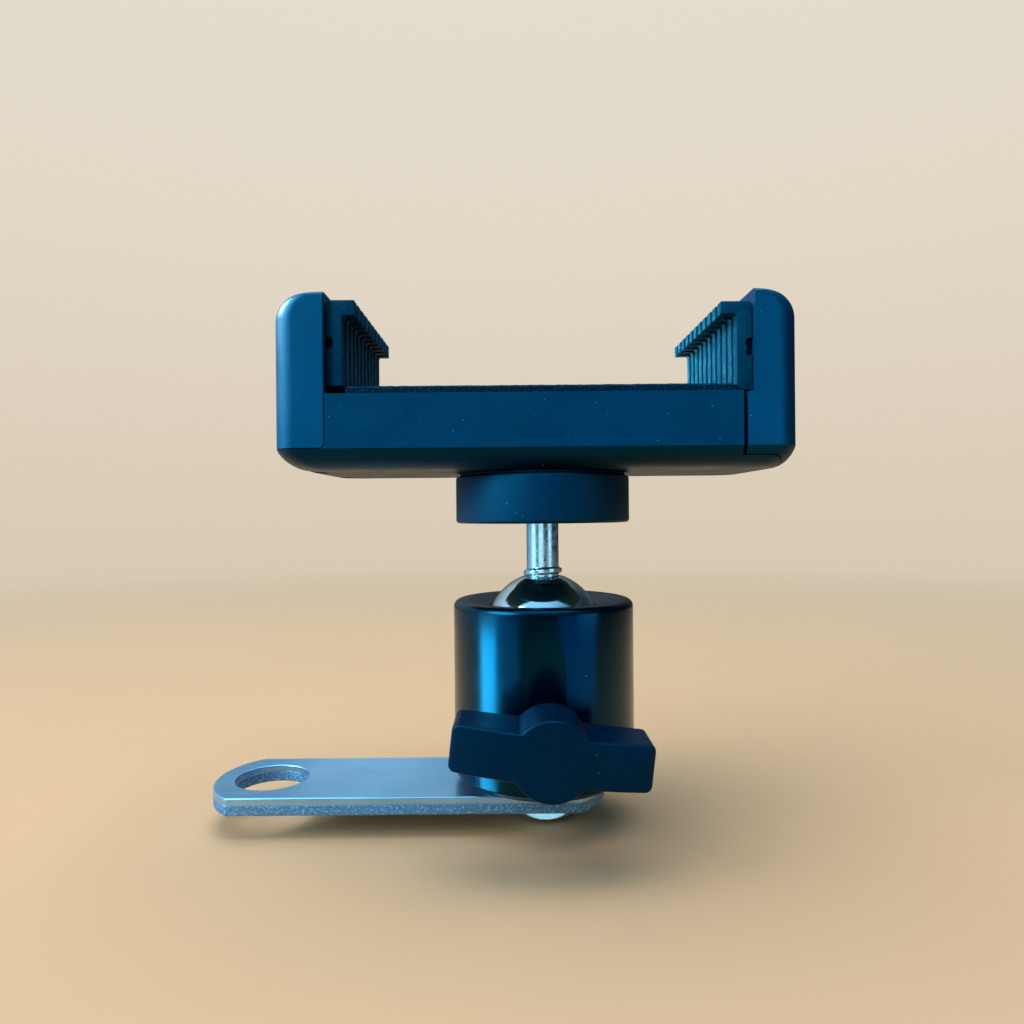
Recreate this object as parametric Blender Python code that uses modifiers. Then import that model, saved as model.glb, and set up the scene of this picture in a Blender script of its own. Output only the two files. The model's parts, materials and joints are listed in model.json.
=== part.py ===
"""Phone handlebar mount: a flat bar that hangs on a mirror stem, a locking ball head on the bar,
and a spring clamp that holds a phone.

Frame: the origin is the centre of the bar's stem hole on the bar's underside, +X runs along the bar
to the ball head, +Z is up and the locking knob faces -Y. The working unit is the millimetre, which MM
turns into metres.
"""

from math import atan2, cos, pi, radians, sin, sqrt

import bmesh
import bpy

MM = 0.001

# Driving dimensions, in millimetres
HEAD_X = 48.5  # the ball head's axis along the bar
GAP = 0.15  # left between two pieces that touch

BAR_THICK, BAR_HALF_WIDTH, BAR_END_RADIUS = 3.0, 10.0, 12.5
BAR_LEFT, BAR_RIGHT = -9.7, 59.0
STEM_HOLE_RADIUS, SCREW_HOLE_RADIUS = 6.25, 3.4
BASE_SCREW_RADIUS, BASE_HEAD_RADIUS, BASE_HEAD_HEIGHT = 3.175, 6.25, 3.9

HOUSING_RADIUS, HOUSING_BORE = 15.85, 10.6
HOUSING_BOTTOM, HOUSING_TOP, HOUSING_RIM = 4.6, 34.5, 2.0
PLUG_TOP, PLUG_FLANGE_RADIUS = 10.0, 13.0
BALL_Z, BALL_RADIUS, SOCKET_RADIUS = 28.94, 10.2, 10.5
THROAT_ANGLE = radians(24.5)

KNOB_Z, KNOB_ROLL = 14.8, radians(6.7)
KNOB_REAR, KNOB_FRONT, KNOB_BULGE = 18.8, 29.0, 2.0
KNOB_HALF_WIDTH, KNOB_HALF_HEIGHT, HUB_RADIUS, KNOB_BOSS_RADIUS = 14.65, 3.425, 5.9, 4.5
LOCK_SCREW_RADIUS, LOCK_SCREW_TIP = 2.5, 3.0
KNOB_TRAVEL, PLATE_DROP = 0.8, 0.2  # for one turn of the knob
PLATE_BOTTOM, PLATE_TOP = 17.8, 18.4

STUD_FLAT, STUD_NECK, STUD_THREAD, STUD_COLLAR, STUD_TOP = 38.5, 2.85, 3.05, 3.4, 62.5
DISC_RADIUS, DISC_BOTTOM, DISC_TOP = 15.3, 48.0, 56.1
NUT_HALF_FLATS, NUT_THICK, NUT_BORE = 5.55, 5.5, 3.35
WASHER_RADIUS, WASHER_TOP = 14.6, 56.6

# The clamp's X is counted from the ball head's axis
CLAMP_LEFT, CLAMP_RIGHT, CLAMP_HALF_DEPTH = -42.7, 39.7, 17.5
CLAMP_BOTTOM, CLAMP_TOP, BAR_TOP, CORNER_RADIUS = 56.7, 84.5, 68.5, 3.5
FLOOR_TOP, LID_BOTTOM, LID_TOP, WALL_INSIDE = 58.5, 66.9, 68.4, 15.6
FIXED_JAW_FACE, FIXED_JAW_BOTTOM = -34.4, 60.0
TRAY_LEFT, TRAY_RIGHT, TRAY_TOE, TOE_LENGTH = -34.25, 30.7, 37.4, 2.0
CAVITY_LEFT, CAVITY_RIGHT = -32.4, 28.9
SLIDING_JAW_FACE, SLIDING_JAW_LOWER_FACE = 32.55, 31.35
POCKET_DEPTH, POCKET_HALF_WIDTH, POCKET_TOP = 5.4, 15.5, 82.5
FOAM_LEFT, FOAM_RIGHT, FOAM_HALF_DEPTH, FOAM_BOTTOM, FOAM_TOP = -31.2, 29.8, 17.0, 68.6, 69.9
LINER_HALF_WIDTH, RIB_COUNT, RIB_WIDTH, RIB_HEIGHT = 16.4, 11, 1.9, 0.55
INSERT_RADIUS, INSERT_BOSS_RADIUS, INSERT_TOP, INSERT_BOSS_TOP = 4.2, 6.0, 64.2, 64.4
TONGUE_LEFT, TONGUE_HALF_WIDTH, FORK_HALF_WIDTH = -28.0, 10.8, 6.9
TONGUE_BOTTOM, TONGUE_TOP = 58.8, 61.9
SPRING_Y, SPRING_Z, SPRING_RADIUS, SPRING_WIRE = 9.1, 64.6, 1.55, 0.3
TRAY_POST_X, JAW_POST_X, POST_RADIUS, POST_TOP = -31.0, 2.0, 1.1, 66.3
SPRING_TURNS, POINTS_A_TURN = 10, 8
LID_BOSS_RADIUS, LID_HOLE_RADIUS, LID_SCREW_RADIUS, LID_HEAD_RADIUS = 2.1, 1.3, 0.9, 1.75
JAW_HOLE_RADIUS, JAW_RECESS_RADIUS, JAW_SCREW_RADIUS, JAW_HEAD_RADIUS = 1.6, 2.7, 1.3, 2.3
POCKET_BOTTOM = 64.5  # of the fixed jaw's hollow
LID_SCREWS = [(-28.0, -13.2), (-28.0, 13.2), (24.0, -13.2), (24.0, 13.2)]
JAW_SCREWS = [(-38.5, -9.0), (-38.5, 9.0)]

ON_SIDE = (pi / 2, 0, 0)  # an outline in X and Y stands up in X and Z
ON_END = (pi / 2, 0, pi / 2)  # an outline in X and Y stands up in Y and Z

# name: colour, roughness, metallic
FINISHES = {
    "zinc_plated_steel": ((0.32, 0.43, 0.53), 0.34, 1.0),
    "bright_zinc": ((0.50, 0.60, 0.66), 0.20, 1.0),
    "dark_steel": ((0.05, 0.08, 0.11), 0.38, 1.0),
    "black_paint": ((0.001, 0.004, 0.012), 0.20, 0.0),
    "clamp_plastic": ((0.001, 0.048, 0.104), 0.42, 0.0),
    "knob_plastic": ((0.001, 0.015, 0.038), 0.36, 0.0),
    "disc_plastic": ((0.001, 0.032, 0.075), 0.50, 0.0),
    "chrome": ((0.82, 0.83, 0.84), 0.05, 1.0),
    "steel": ((0.50, 0.52, 0.54), 0.30, 1.0),
    "spring_steel": ((0.42, 0.44, 0.47), 0.24, 1.0),
    "brass": ((0.72, 0.52, 0.22), 0.25, 1.0),
    "white_nylon": ((0.78, 0.76, 0.70), 0.42, 0.0),
    "black_rubber": ((0.001, 0.028, 0.050), 0.60, 0.0),
    "black_foam": ((0.001, 0.016, 0.034), 0.90, 0.0),
}


def clear_scene():
    for obj in list(bpy.data.objects):
        bpy.data.objects.remove(obj)


def new_collection(name, hidden=False):
    collection = bpy.data.collections.new(name)
    collection.hide_render = hidden
    bpy.context.scene.collection.children.link(collection)
    return collection


def make_material(name):
    colour, roughness, metallic = FINISHES[name]
    material = bpy.data.materials.new(name)
    material.use_nodes = True
    shader = material.node_tree.nodes["Principled BSDF"]
    shader.inputs["Base Color"].default_value = (*colour, 1)
    shader.inputs["Roughness"].default_value = roughness
    shader.inputs["Metallic"].default_value = metallic
    material.diffuse_color = (*colour, 1)
    return material


clear_scene()
PARTS = new_collection("phone_handlebar_mount")
CUTTERS = new_collection("cutters", hidden=True)
MATERIALS = {name: make_material(name) for name in FINISHES}


def axis_empty(name, location, rotation=(0, 0, 0), parent=None):
    """An empty on a joint's axis. The location is in millimetres from the origin of the frame."""
    empty = bpy.data.objects.new(name, None)
    empty.location = [value * MM for value in location]
    empty.rotation_euler = rotation
    empty.parent = parent
    PARTS.objects.link(empty)
    return empty


HEAD_AXIS = axis_empty("head_axis", (HEAD_X, 0, 0))
KNOB_AXIS = axis_empty("knob_axis", (0, 0, KNOB_Z), (pi / 2, KNOB_ROLL, 0), HEAD_AXIS)
BALL_CENTRE = axis_empty("ball_centre", (0, 0, BALL_Z), parent=HEAD_AXIS)
CLAMP_AXIS = axis_empty("clamp_axis", (0, 0, -BALL_Z), parent=BALL_CENTRE)


def add_object(name, mesh, parent=None, rotation=(0, 0, 0), drop=0.0, finish=None):
    """Puts a mesh in the scene, as a part with a finish or as a hidden cutter without one."""
    obj = bpy.data.objects.new(name, mesh)
    obj.parent = parent
    obj.rotation_euler = rotation
    obj.location = (0, 0, -drop * MM)
    if finish is None:
        CUTTERS.objects.link(obj)
        obj.hide_render = True
        obj.display_type = "WIRE"
    else:
        PARTS.objects.link(obj)
        mesh.materials.append(MATERIALS[finish])
        mesh.shade_smooth()
        mesh.set_sharp_from_angle(angle=radians(35))
    return obj


def outline_mesh(name, outlines, low, high):
    """A flat plate between two heights. The outlines after the first are its holes."""
    curve = bpy.data.curves.new(name, "CURVE")
    curve.dimensions = "2D"
    curve.fill_mode = "BOTH"
    curve.extrude = (high - low) / 2 * MM
    for outline in outlines:
        spline = curve.splines.new("POLY")
        spline.points.add(len(outline) - 1)
        for point, (x, y) in zip(spline.points, outline):
            point.co = (x * MM, y * MM, 0, 1)
        spline.use_cyclic_u = True
    holder = bpy.data.objects.new(name, curve)
    bpy.context.scene.collection.objects.link(holder)
    graph = bpy.context.evaluated_depsgraph_get()
    mesh = bpy.data.meshes.new_from_object(holder.evaluated_get(graph))
    bpy.data.objects.remove(holder)
    shape = bmesh.new()
    shape.from_mesh(mesh)
    bmesh.ops.translate(shape, verts=shape.verts, vec=(0, 0, (low + high) / 2 * MM))
    bmesh.ops.remove_doubles(shape, verts=shape.verts, dist=0.00001)
    bmesh.ops.recalc_face_normals(shape, faces=shape.faces)
    if len(outlines) == 1:
        for side in (1, -1):
            cap = [face for face in shape.faces if face.normal.z * side > 0.9]
            bmesh.ops.dissolve_faces(shape, faces=cap)
    shape.to_mesh(mesh)
    shape.free()
    return mesh


def plate(name, outlines, low, high, **place):
    return add_object(name, outline_mesh(name, outlines, low, high), **place)


def box(name, low, high, **place):
    """A box between two corners."""
    shape = bmesh.new()
    bmesh.ops.create_cube(shape, size=1)
    for vert in shape.verts:
        vert.co = [(a + b + 2 * c * (b - a)) / 2 * MM for a, b, c in zip(low, high, vert.co)]
    mesh = bpy.data.meshes.new(name)
    shape.to_mesh(mesh)
    shape.free()
    return add_object(name, mesh, **place)


def turned(name, profile, steps=40, centre=(0, 0), closed=True, **place):
    """Turns (radius, height) points, listed down the outer side, about the Z axis."""
    mesh = bpy.data.meshes.new(name)
    count = len(profile)
    edges = [(i, (i + 1) % count) for i in range(count if closed else count - 1)]
    mesh.from_pydata([(r * MM, 0, z * MM) for r, z in profile], edges, [])
    obj = add_object(name, mesh, **place)
    obj.location.x += centre[0] * MM
    obj.location.y += centre[1] * MM
    screw = obj.modifiers.new("turn", "SCREW")
    screw.steps = screw.render_steps = steps
    screw.use_merge_vertices = True
    screw.merge_threshold = 0.00001
    return obj


def combine(obj, other, operation):
    boolean = obj.modifiers.new(f"{operation.lower()}_{other.name}", "BOOLEAN")
    boolean.operation = operation
    boolean.object = other
    return obj


def cut(obj, cutter):
    return combine(obj, cutter, "DIFFERENCE")


def join(obj, other):
    return combine(obj, other, "UNION")


def pin_profile(radius, low, high):
    """A plain round pin or hole from its top to its bottom, closed at the axis."""
    return [(0, high), (radius, high), (radius, low), (0, low)]


def ring_profile(inner, outer, low, high):
    return [(inner, high), (outer, high), (outer, low), (inner, low)]


def pin(name, radius, low, high, steps=20, **place):
    return turned(name, pin_profile(radius, low, high), steps, closed=False, **place)


def arc(centre, radii, start, end, steps):
    """Points along a round or elliptical arc, with its angles in degrees."""
    angles = [radians(start + (end - start) * i / steps) for i in range(steps + 1)]
    return [(centre[0] + radii[0] * cos(a), centre[1] + radii[1] * sin(a)) for a in angles]


def circle(radius, steps=40, centre=(0, 0)):
    return arc(centre, (radius, radius), 0, 360 - 360 / steps, steps - 1)


def rounded_rectangle(low, high, radius, steps=4):
    corners = [
        ((high[0] - radius, high[1] - radius), 0),
        ((low[0] + radius, high[1] - radius), 90),
        ((low[0] + radius, low[1] + radius), 180),
        ((high[0] - radius, low[1] + radius), 270),
    ]
    return [p for c, a in corners for p in arc(c, (radius, radius), a, a + 90, steps)]


def loft(name, rings, **place):
    """A closed solid through rings of points that match one to one."""
    shape = bmesh.new()
    rows = [[shape.verts.new([value * MM for value in point]) for point in ring] for ring in rings]
    for row, following in zip(rows, rows[1:]):
        for i in range(len(row)):
            j = (i + 1) % len(row)
            shape.faces.new((row[i], row[j], following[j], following[i]))
    shape.faces.new(rows[0])
    shape.faces.new(rows[-1])
    bmesh.ops.recalc_face_normals(shape, faces=shape.faces)
    mesh = bpy.data.meshes.new(name)
    shape.to_mesh(mesh)
    shape.free()
    return add_object(name, mesh, **place)


# The bar


def make_bar():
    half_angle = atan2(BAR_HALF_WIDTH, sqrt(BAR_END_RADIUS**2 - BAR_HALF_WIDTH**2)) * 180 / pi
    radii = (BAR_END_RADIUS, BAR_END_RADIUS)
    left = arc((BAR_LEFT + BAR_END_RADIUS, 0), radii, 180 - half_angle, 180 + half_angle, 12)
    right = arc((BAR_RIGHT - BAR_END_RADIUS, 0), radii, -half_angle, half_angle, 12)
    holes = [circle(STEM_HOLE_RADIUS, 48), circle(SCREW_HOLE_RADIUS, 32, (HEAD_X, 0))]
    plate("mount_bracket", [left + right, *holes], 0, BAR_THICK, finish="zinc_plated_steel")


def make_base_screw():
    """A pan-head screw with a cross recess, up through the bar into the plug."""
    profile = [(0, 9.4), (2.7, 9.4), (BASE_SCREW_RADIUS, 8.9), (BASE_SCREW_RADIUS, -GAP)]
    profile += [(BASE_HEAD_RADIUS, -GAP), (BASE_HEAD_RADIUS, -1.5), (5.7, -2.7)]
    profile += [(4.4, -3.5), (2.4, -BASE_HEAD_HEIGHT), (0, -BASE_HEAD_HEIGHT)]
    screw = turned("base_screw", profile, 32, closed=False, parent=HEAD_AXIS, finish="bright_zinc")
    arm, half, depth = 3.0, 0.6, 2.0
    low, high = -BASE_HEAD_HEIGHT - 1, -BASE_HEAD_HEIGHT + depth
    across = {"across": (arm, half), "along": (half, arm)}
    for side, (x, y) in across.items():
        cut(screw, box(f"recess_{side}", (-x, -y, low), (x, y, high), parent=HEAD_AXIS))


# The ball head


def make_housing():
    """A turned cup, open below, whose throat closes over the ball."""
    outer = HOUSING_RADIUS
    rim = arc((outer - HOUSING_RIM, HOUSING_TOP - HOUSING_RIM), (HOUSING_RIM, HOUSING_RIM), 90, 0, 4)
    profile = [*rim, (outer, HOUSING_BOTTOM + 0.5), (outer - 0.5, HOUSING_BOTTOM)]
    profile += [(HOUSING_BORE, HOUSING_BOTTOM), (HOUSING_BORE, BALL_Z - 0.4)]
    for i in range(5):
        angle = THROAT_ANGLE * (i + 0.5) / 4.5
        profile.append((SOCKET_RADIUS * cos(angle), BALL_Z + SOCKET_RADIUS * sin(angle)))
    profile.append((13.5, HOUSING_TOP))
    housing = turned("ball_housing", profile, 48, parent=HEAD_AXIS, finish="black_paint")
    cut(housing, pin("lock_screw_hole", LOCK_SCREW_RADIUS + 0.4, 8, 20, parent=KNOB_AXIS))


def make_plug():
    bore = BASE_SCREW_RADIUS + 0.225
    body = HOUSING_BORE - 0.25
    profile = [(bore, PLUG_TOP), (body - 0.4, PLUG_TOP), (body, PLUG_TOP - 0.4)]
    profile += [(body, HOUSING_BOTTOM - 0.1), (PLUG_FLANGE_RADIUS, HOUSING_BOTTOM - 0.1)]
    profile += [(PLUG_FLANGE_RADIUS, BAR_THICK + 0.1), (bore, BAR_THICK + 0.1)]
    turned("base_plug", profile, 40, parent=HEAD_AXIS, finish="dark_steel")


def make_seat():
    """The nylon ring that the ball turns in."""
    inner, top = 5.0, 24.9
    profile = []
    for i in range(6):
        radius = 9.6 + (inner - 9.6) * i / 5
        height = BALL_Z - sqrt((BALL_RADIUS + 0.2) ** 2 - radius**2)
        profile.insert(0, (radius, min(height, top)))
    profile += [(HOUSING_BORE - 0.25, top), (HOUSING_BORE - 0.25, PLATE_TOP + GAP)]
    profile += [(inner, PLATE_TOP + GAP)]
    turned("lower_ball_seat", profile, 40, parent=HEAD_AXIS, finish="white_nylon")


def make_plate_and_wedge():
    """The knob's screw drives the wedge under the plate's sloping foot, which lifts the seat."""
    slope = PLATE_DROP / KNOB_TRAVEL
    near, far, half = -2.7, 4.6, 4.0
    thick_end = PLATE_BOTTOM - 0.75

    def slope_height(y, lift=0.0):
        return thick_end - slope * (y - near) + lift

    disc = pin_profile(HOUSING_BORE - 0.35, PLATE_BOTTOM, PLATE_TOP)
    pressure = turned("pressure_plate", disc, closed=False, parent=HEAD_AXIS, finish="steel")
    foot = [(near, slope_height(near, GAP)), (far, slope_height(far, GAP))]
    foot += [(far, PLATE_TOP - 0.2), (near, PLATE_TOP - 0.2)]
    join(pressure, plate("plate_foot", [foot], -half, half, parent=HEAD_AXIS, rotation=ON_END))
    base = PLUG_TOP + 0.3
    wedge = [(near, base), (far, base), (far, slope_height(far)), (near, slope_height(near))]
    place = {"parent": HEAD_AXIS, "rotation": ON_END, "finish": "steel"}
    plate("wedge_block", [wedge], -half, half, **place)


def knob_outline():
    """A round hub with a wing on either side, a little thinner at the hub, with rounded ends."""
    corner, root_height = 1.0, KNOB_HALF_HEIGHT - 0.05
    angle = atan2(root_height, sqrt(HUB_RADIUS**2 - root_height**2)) * 180 / pi
    x, y, small = KNOB_HALF_WIDTH - corner, KNOB_HALF_HEIGHT - corner, (corner, corner)
    right = arc((x, -y), small, -90, 0, 3) + arc((x, y), small, 0, 90, 3)
    top = arc((0, 0), (HUB_RADIUS, HUB_RADIUS), angle, 180 - angle, 8)
    half = right + top
    return half + [(-px, -py) for px, py in half]


def make_knob():
    place = {"parent": KNOB_AXIS, "finish": "knob_plastic"}
    knob = plate("wing_knob", [knob_outline()], KNOB_REAR, KNOB_FRONT + 1, **place)
    bulge_radius = (KNOB_HALF_WIDTH**2 + KNOB_BULGE**2) / (2 * KNOB_BULGE)
    bulge = arc((0, KNOB_FRONT - bulge_radius), (bulge_radius, bulge_radius), 35, 145, 48)
    front = plate("knob_front", [bulge], -10, 10, parent=KNOB_AXIS, rotation=ON_SIDE)
    combine(knob, front, "INTERSECT")
    join(knob, pin("knob_boss", KNOB_BOSS_RADIUS, 16.3, KNOB_REAR + 1, 28, parent=KNOB_AXIS))
    cut(knob, pin("knob_bore", LOCK_SCREW_RADIUS + 0.3, 15, 25, parent=KNOB_AXIS))
    tip = LOCK_SCREW_TIP
    profile = [(0, 24.7), (LOCK_SCREW_RADIUS, 24.7), (LOCK_SCREW_RADIUS, tip + 0.8)]
    profile += [(1.7, tip), (0, tip)]
    turned("lock_screw", profile, 20, closed=False, parent=KNOB_AXIS, finish="steel")


def make_ball():
    """A drilled ball with a flat where the stud's collar rests."""
    socket, bottom = 2.9, 31.0
    flat = STUD_FLAT - BALL_Z
    profile = [(0, bottom), (socket, bottom), (socket, STUD_FLAT)]
    start = atan2(flat, sqrt(BALL_RADIUS**2 - flat**2))
    rings = 13
    for i in range(rings + 1):
        angle = start + (-pi / 2 - start) * i / rings
        radius = BALL_RADIUS * cos(angle) if i < rings else 0
        profile.append((radius, BALL_Z + BALL_RADIUS * sin(angle)))
    place = {"closed": False, "parent": BALL_CENTRE, "drop": BALL_Z}
    turned("ball", profile, 36, finish="chrome", **place)


def make_stud():
    collar = STUD_FLAT + GAP
    profile = [(0, STUD_TOP), (2.6, STUD_TOP), (STUD_THREAD, STUD_TOP - 0.5)]
    profile += [(STUD_THREAD, DISC_BOTTOM + 0.4), (STUD_NECK, DISC_BOTTOM + 0.2)]
    profile += [(STUD_NECK, 39.9), (STUD_COLLAR, 39.6), (STUD_COLLAR, collar)]
    profile += [(2.6, collar), (2.6, 31.3), (0, 31.3)]
    place = {"closed": False, "parent": BALL_CENTRE, "drop": BALL_Z}
    turned("stud", profile, 24, finish="bright_zinc", **place)


def make_disc():
    """The locking disc, the nut moulded into its pocket and the washer that lies on it."""
    chamfer, play = 0.4, 0.3
    pocket_bottom = DISC_TOP - NUT_THICK - 0.4
    bore = STUD_THREAD + play
    profile = [(bore, DISC_TOP), (DISC_RADIUS - chamfer, DISC_TOP), (DISC_RADIUS, DISC_TOP - chamfer)]
    profile += [(DISC_RADIUS, DISC_BOTTOM + chamfer), (DISC_RADIUS - chamfer, DISC_BOTTOM)]
    profile.append((bore, DISC_BOTTOM))
    disc = turned("lock_disc", profile, 56, parent=CLAMP_AXIS, finish="disc_plastic")
    to_corner = 1 / cos(pi / 6)
    pocket = (NUT_HALF_FLATS + play) * to_corner
    cut(disc, pin("nut_pocket", pocket, pocket_bottom, DISC_TOP + 1, 6, parent=CLAMP_AXIS))
    low = pocket_bottom + GAP
    hexagon = [circle(NUT_HALF_FLATS * to_corner, 6), circle(NUT_BORE, 24)]
    plate("disc_nut", hexagon, low, low + NUT_THICK, parent=CLAMP_AXIS, finish="brass")
    washer = ring_profile(STUD_THREAD + 0.5, WASHER_RADIUS, DISC_TOP + GAP, WASHER_TOP)
    turned("friction_washer", washer, 48, parent=CLAMP_AXIS, finish="black_rubber")


# The clamp


def make_envelope():
    """The clamp's outer form. Its sides lean in from an edge near the bottom, and its upper outer
    corners are rounded."""
    drop, lean, left_reach, right_reach = 3.3, radians(20), 1.1, 0.55
    top_radius, top_edge, steps = 4.3, 0.8, 4
    bottom_radius = drop / (1 - sin(lean))
    insets = []
    for i in range(steps + 1):
        angle = pi / 2 + (lean - pi / 2) * i / steps
        inset = bottom_radius * (cos(lean) - cos(angle))
        height = CLAMP_BOTTOM + drop - bottom_radius * (sin(angle) - sin(lean))
        insets.append((height, inset * left_reach, inset * right_reach, inset))
    for i in range(steps + 1):
        angle = pi / 2 * (steps - i) / steps
        inset = top_radius * (1 - sin(angle))
        height = CLAMP_TOP - top_radius * (1 - cos(angle))
        insets.append((height, inset, inset, min(inset, top_edge)))
    rings = []
    for height, left, right, deep in insets:
        low = (CLAMP_LEFT + left, deep - CLAMP_HALF_DEPTH)
        high = (CLAMP_RIGHT - right, CLAMP_HALF_DEPTH - deep)
        rings.append([(x, y, height) for x, y in rounded_rectangle(low, high, CORNER_RADIUS)])
    return loft("clamp_envelope", rings, parent=CLAMP_AXIS)


ENVELOPE = make_envelope()


def side_plate(name, outline, half_depth=CLAMP_HALF_DEPTH + 1, **place):
    """An outline in X and Z, drawn out along Y on both sides of the middle."""
    place = {"parent": CLAMP_AXIS, "rotation": ON_SIDE, **place}
    return plate(name, [outline], -half_depth, half_depth, **place)


def clamp_box(name, low, high):
    return box(name, low, high, parent=CLAMP_AXIS)


def clamp_pin(name, radius, low, high, centre=(0, 0), steps=20):
    return pin(name, radius, low, high, steps, centre=centre, parent=CLAMP_AXIS)


def toe_curve(play=0.0):
    """The curved end of the tray's floor, which the sliding jaw closes on."""
    radii = (TOE_LENGTH + play, FLOOR_TOP - CLAMP_BOTTOM + play)
    return arc((TRAY_TOE - TOE_LENGTH, CLAMP_BOTTOM), radii, 0, 90, 4)


def make_tray():
    ledge = FIXED_JAW_BOTTOM - GAP
    outline = [(CLAMP_LEFT - 1, ledge), (CLAMP_LEFT - 1, CLAMP_BOTTOM - 1)]
    outline += [(TRAY_TOE, CLAMP_BOTTOM - 1), *toe_curve(), (TRAY_RIGHT, FLOOR_TOP)]
    outline += [(TRAY_RIGHT, BAR_TOP), (TRAY_LEFT, BAR_TOP), (TRAY_LEFT, ledge)]
    tray = side_plate("housing_tray", outline, finish="clamp_plastic")
    combine(tray, ENVELOPE, "INTERSECT")
    inside = (CAVITY_LEFT, -WALL_INSIDE, FLOOR_TOP), (CAVITY_RIGHT, WALL_INSIDE, BAR_TOP + 1)
    cut(tray, clamp_box("tray_cavity", *inside))
    slot = TONGUE_HALF_WIDTH + 0.4
    low, high = (CAVITY_RIGHT - 1, -slot, FLOOR_TOP), (TRAY_RIGHT + 1, slot, TONGUE_TOP + 0.4)
    cut(tray, clamp_box("tongue_slot", low, high))
    foot, below = FLOOR_TOP - 1, CLAMP_BOTTOM - 1
    join(tray, clamp_pin("insert_boss", INSERT_BOSS_RADIUS, foot, INSERT_BOSS_TOP, steps=28))
    cut(tray, clamp_pin("insert_bore", INSERT_RADIUS + 0.2, below, INSERT_TOP + 1, steps=28))
    for i, y in enumerate((-SPRING_Y, SPRING_Y)):
        join(tray, clamp_pin(f"tray_post_{i}", POST_RADIUS, foot, POST_TOP, (TRAY_POST_X, y), 12))
    for i, centre in enumerate(LID_SCREWS):
        boss = clamp_pin(f"lid_boss_{i}", LID_BOSS_RADIUS, foot, LID_BOTTOM - GAP, centre, 16)
        hole = clamp_pin(f"lid_boss_hole_{i}", LID_HOLE_RADIUS, FLOOR_TOP + 1, LID_TOP, centre, 12)
        cut(join(tray, boss), hole)
    for i, centre in enumerate(JAW_SCREWS):
        hole = clamp_pin(f"jaw_screw_hole_{i}", JAW_HOLE_RADIUS, below, ledge + 1, centre, 12)
        recess = clamp_pin(f"jaw_recess_{i}", JAW_RECESS_RADIUS, below, FLOOR_TOP, centre, 16)
        cut(cut(tray, hole), recess)


def make_lid():
    low = (CAVITY_LEFT + GAP, -WALL_INSIDE + GAP)
    high = (CAVITY_RIGHT - GAP, WALL_INSIDE - GAP)
    outline = rounded_rectangle(low, high, 0.5, 1)
    place = {"parent": CLAMP_AXIS, "finish": "clamp_plastic"}
    lid = plate("housing_lid", [outline], LID_BOTTOM, LID_TOP, **place)
    sink = [(0, LID_TOP + 0.2), (LID_HEAD_RADIUS + 0.45, LID_TOP + 0.2)]
    sink += [(LID_HOLE_RADIUS, LID_BOTTOM + 0.2), (LID_HOLE_RADIUS, LID_BOTTOM - 1)]
    sink.append((0, LID_BOTTOM - 1))
    top, neck, tip = LID_TOP - 0.1, LID_BOTTOM + 0.3, FLOOR_TOP + 1.7
    screw = [(0, top), (LID_HEAD_RADIUS, top), (LID_HEAD_RADIUS, top - 0.2)]
    screw += [(LID_SCREW_RADIUS, neck), (LID_SCREW_RADIUS, tip + 0.8), (0.3, tip), (0, tip)]
    for i, centre in enumerate(LID_SCREWS):
        place = {"centre": centre, "closed": False, "parent": CLAMP_AXIS}
        cut(lid, turned(f"sink_{i}", sink, 16, **place))
        turned(f"lid_screw_{i + 1}", screw, 12, finish="bright_zinc", **place)


def make_foam():
    low, high = (FOAM_LEFT, -FOAM_HALF_DEPTH), (FOAM_RIGHT, FOAM_HALF_DEPTH)
    outline = rounded_rectangle(low, high, 1.0, 2)
    place = {"parent": CLAMP_AXIS, "finish": "black_foam"}
    plate("foam_pad", [outline], FOAM_BOTTOM, FOAM_TOP, **place)


def make_insert():
    profile = ring_profile(NUT_BORE, INSERT_RADIUS, CLAMP_BOTTOM + 0.2, INSERT_TOP)
    turned("thread_insert", profile, 28, parent=CLAMP_AXIS, finish="brass")


def make_fixed_jaw():
    low, high = (CLAMP_LEFT - 1, FIXED_JAW_BOTTOM), (FIXED_JAW_FACE, CLAMP_TOP + 1)
    outline = [low, (high[0], low[1]), high, (low[0], high[1])]
    jaw = side_plate("fixed_jaw", outline, finish="clamp_plastic")
    combine(jaw, ENVELOPE, "INTERSECT")
    inside = FIXED_JAW_FACE - POCKET_DEPTH, -POCKET_HALF_WIDTH, POCKET_BOTTOM
    outside = FIXED_JAW_FACE + 1, POCKET_HALF_WIDTH, POCKET_TOP
    cut(jaw, clamp_box("fixed_jaw_pocket", inside, outside))
    hole_bottom, hole_top, tip = FIXED_JAW_BOTTOM - 1, POCKET_BOTTOM - 0.3, POCKET_BOTTOM - 0.7
    head_top, head_bottom = FLOOR_TOP - GAP, CLAMP_BOTTOM + 0.6
    screw = [(0, tip), (JAW_SCREW_RADIUS, tip), (JAW_SCREW_RADIUS, head_top)]
    screw += [(JAW_HEAD_RADIUS, head_top), (JAW_HEAD_RADIUS, head_bottom + 0.3), (0, head_bottom)]
    for i, centre in enumerate(JAW_SCREWS):
        place = {"centre": centre, "closed": False, "parent": CLAMP_AXIS}
        cut(jaw, clamp_pin(f"jaw_hole_{i}", JAW_HOLE_RADIUS, hole_bottom, hole_top, centre, 12))
        turned(f"fixed_jaw_screw_{i + 1}", screw, 16, finish="bright_zinc", **place)


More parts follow.
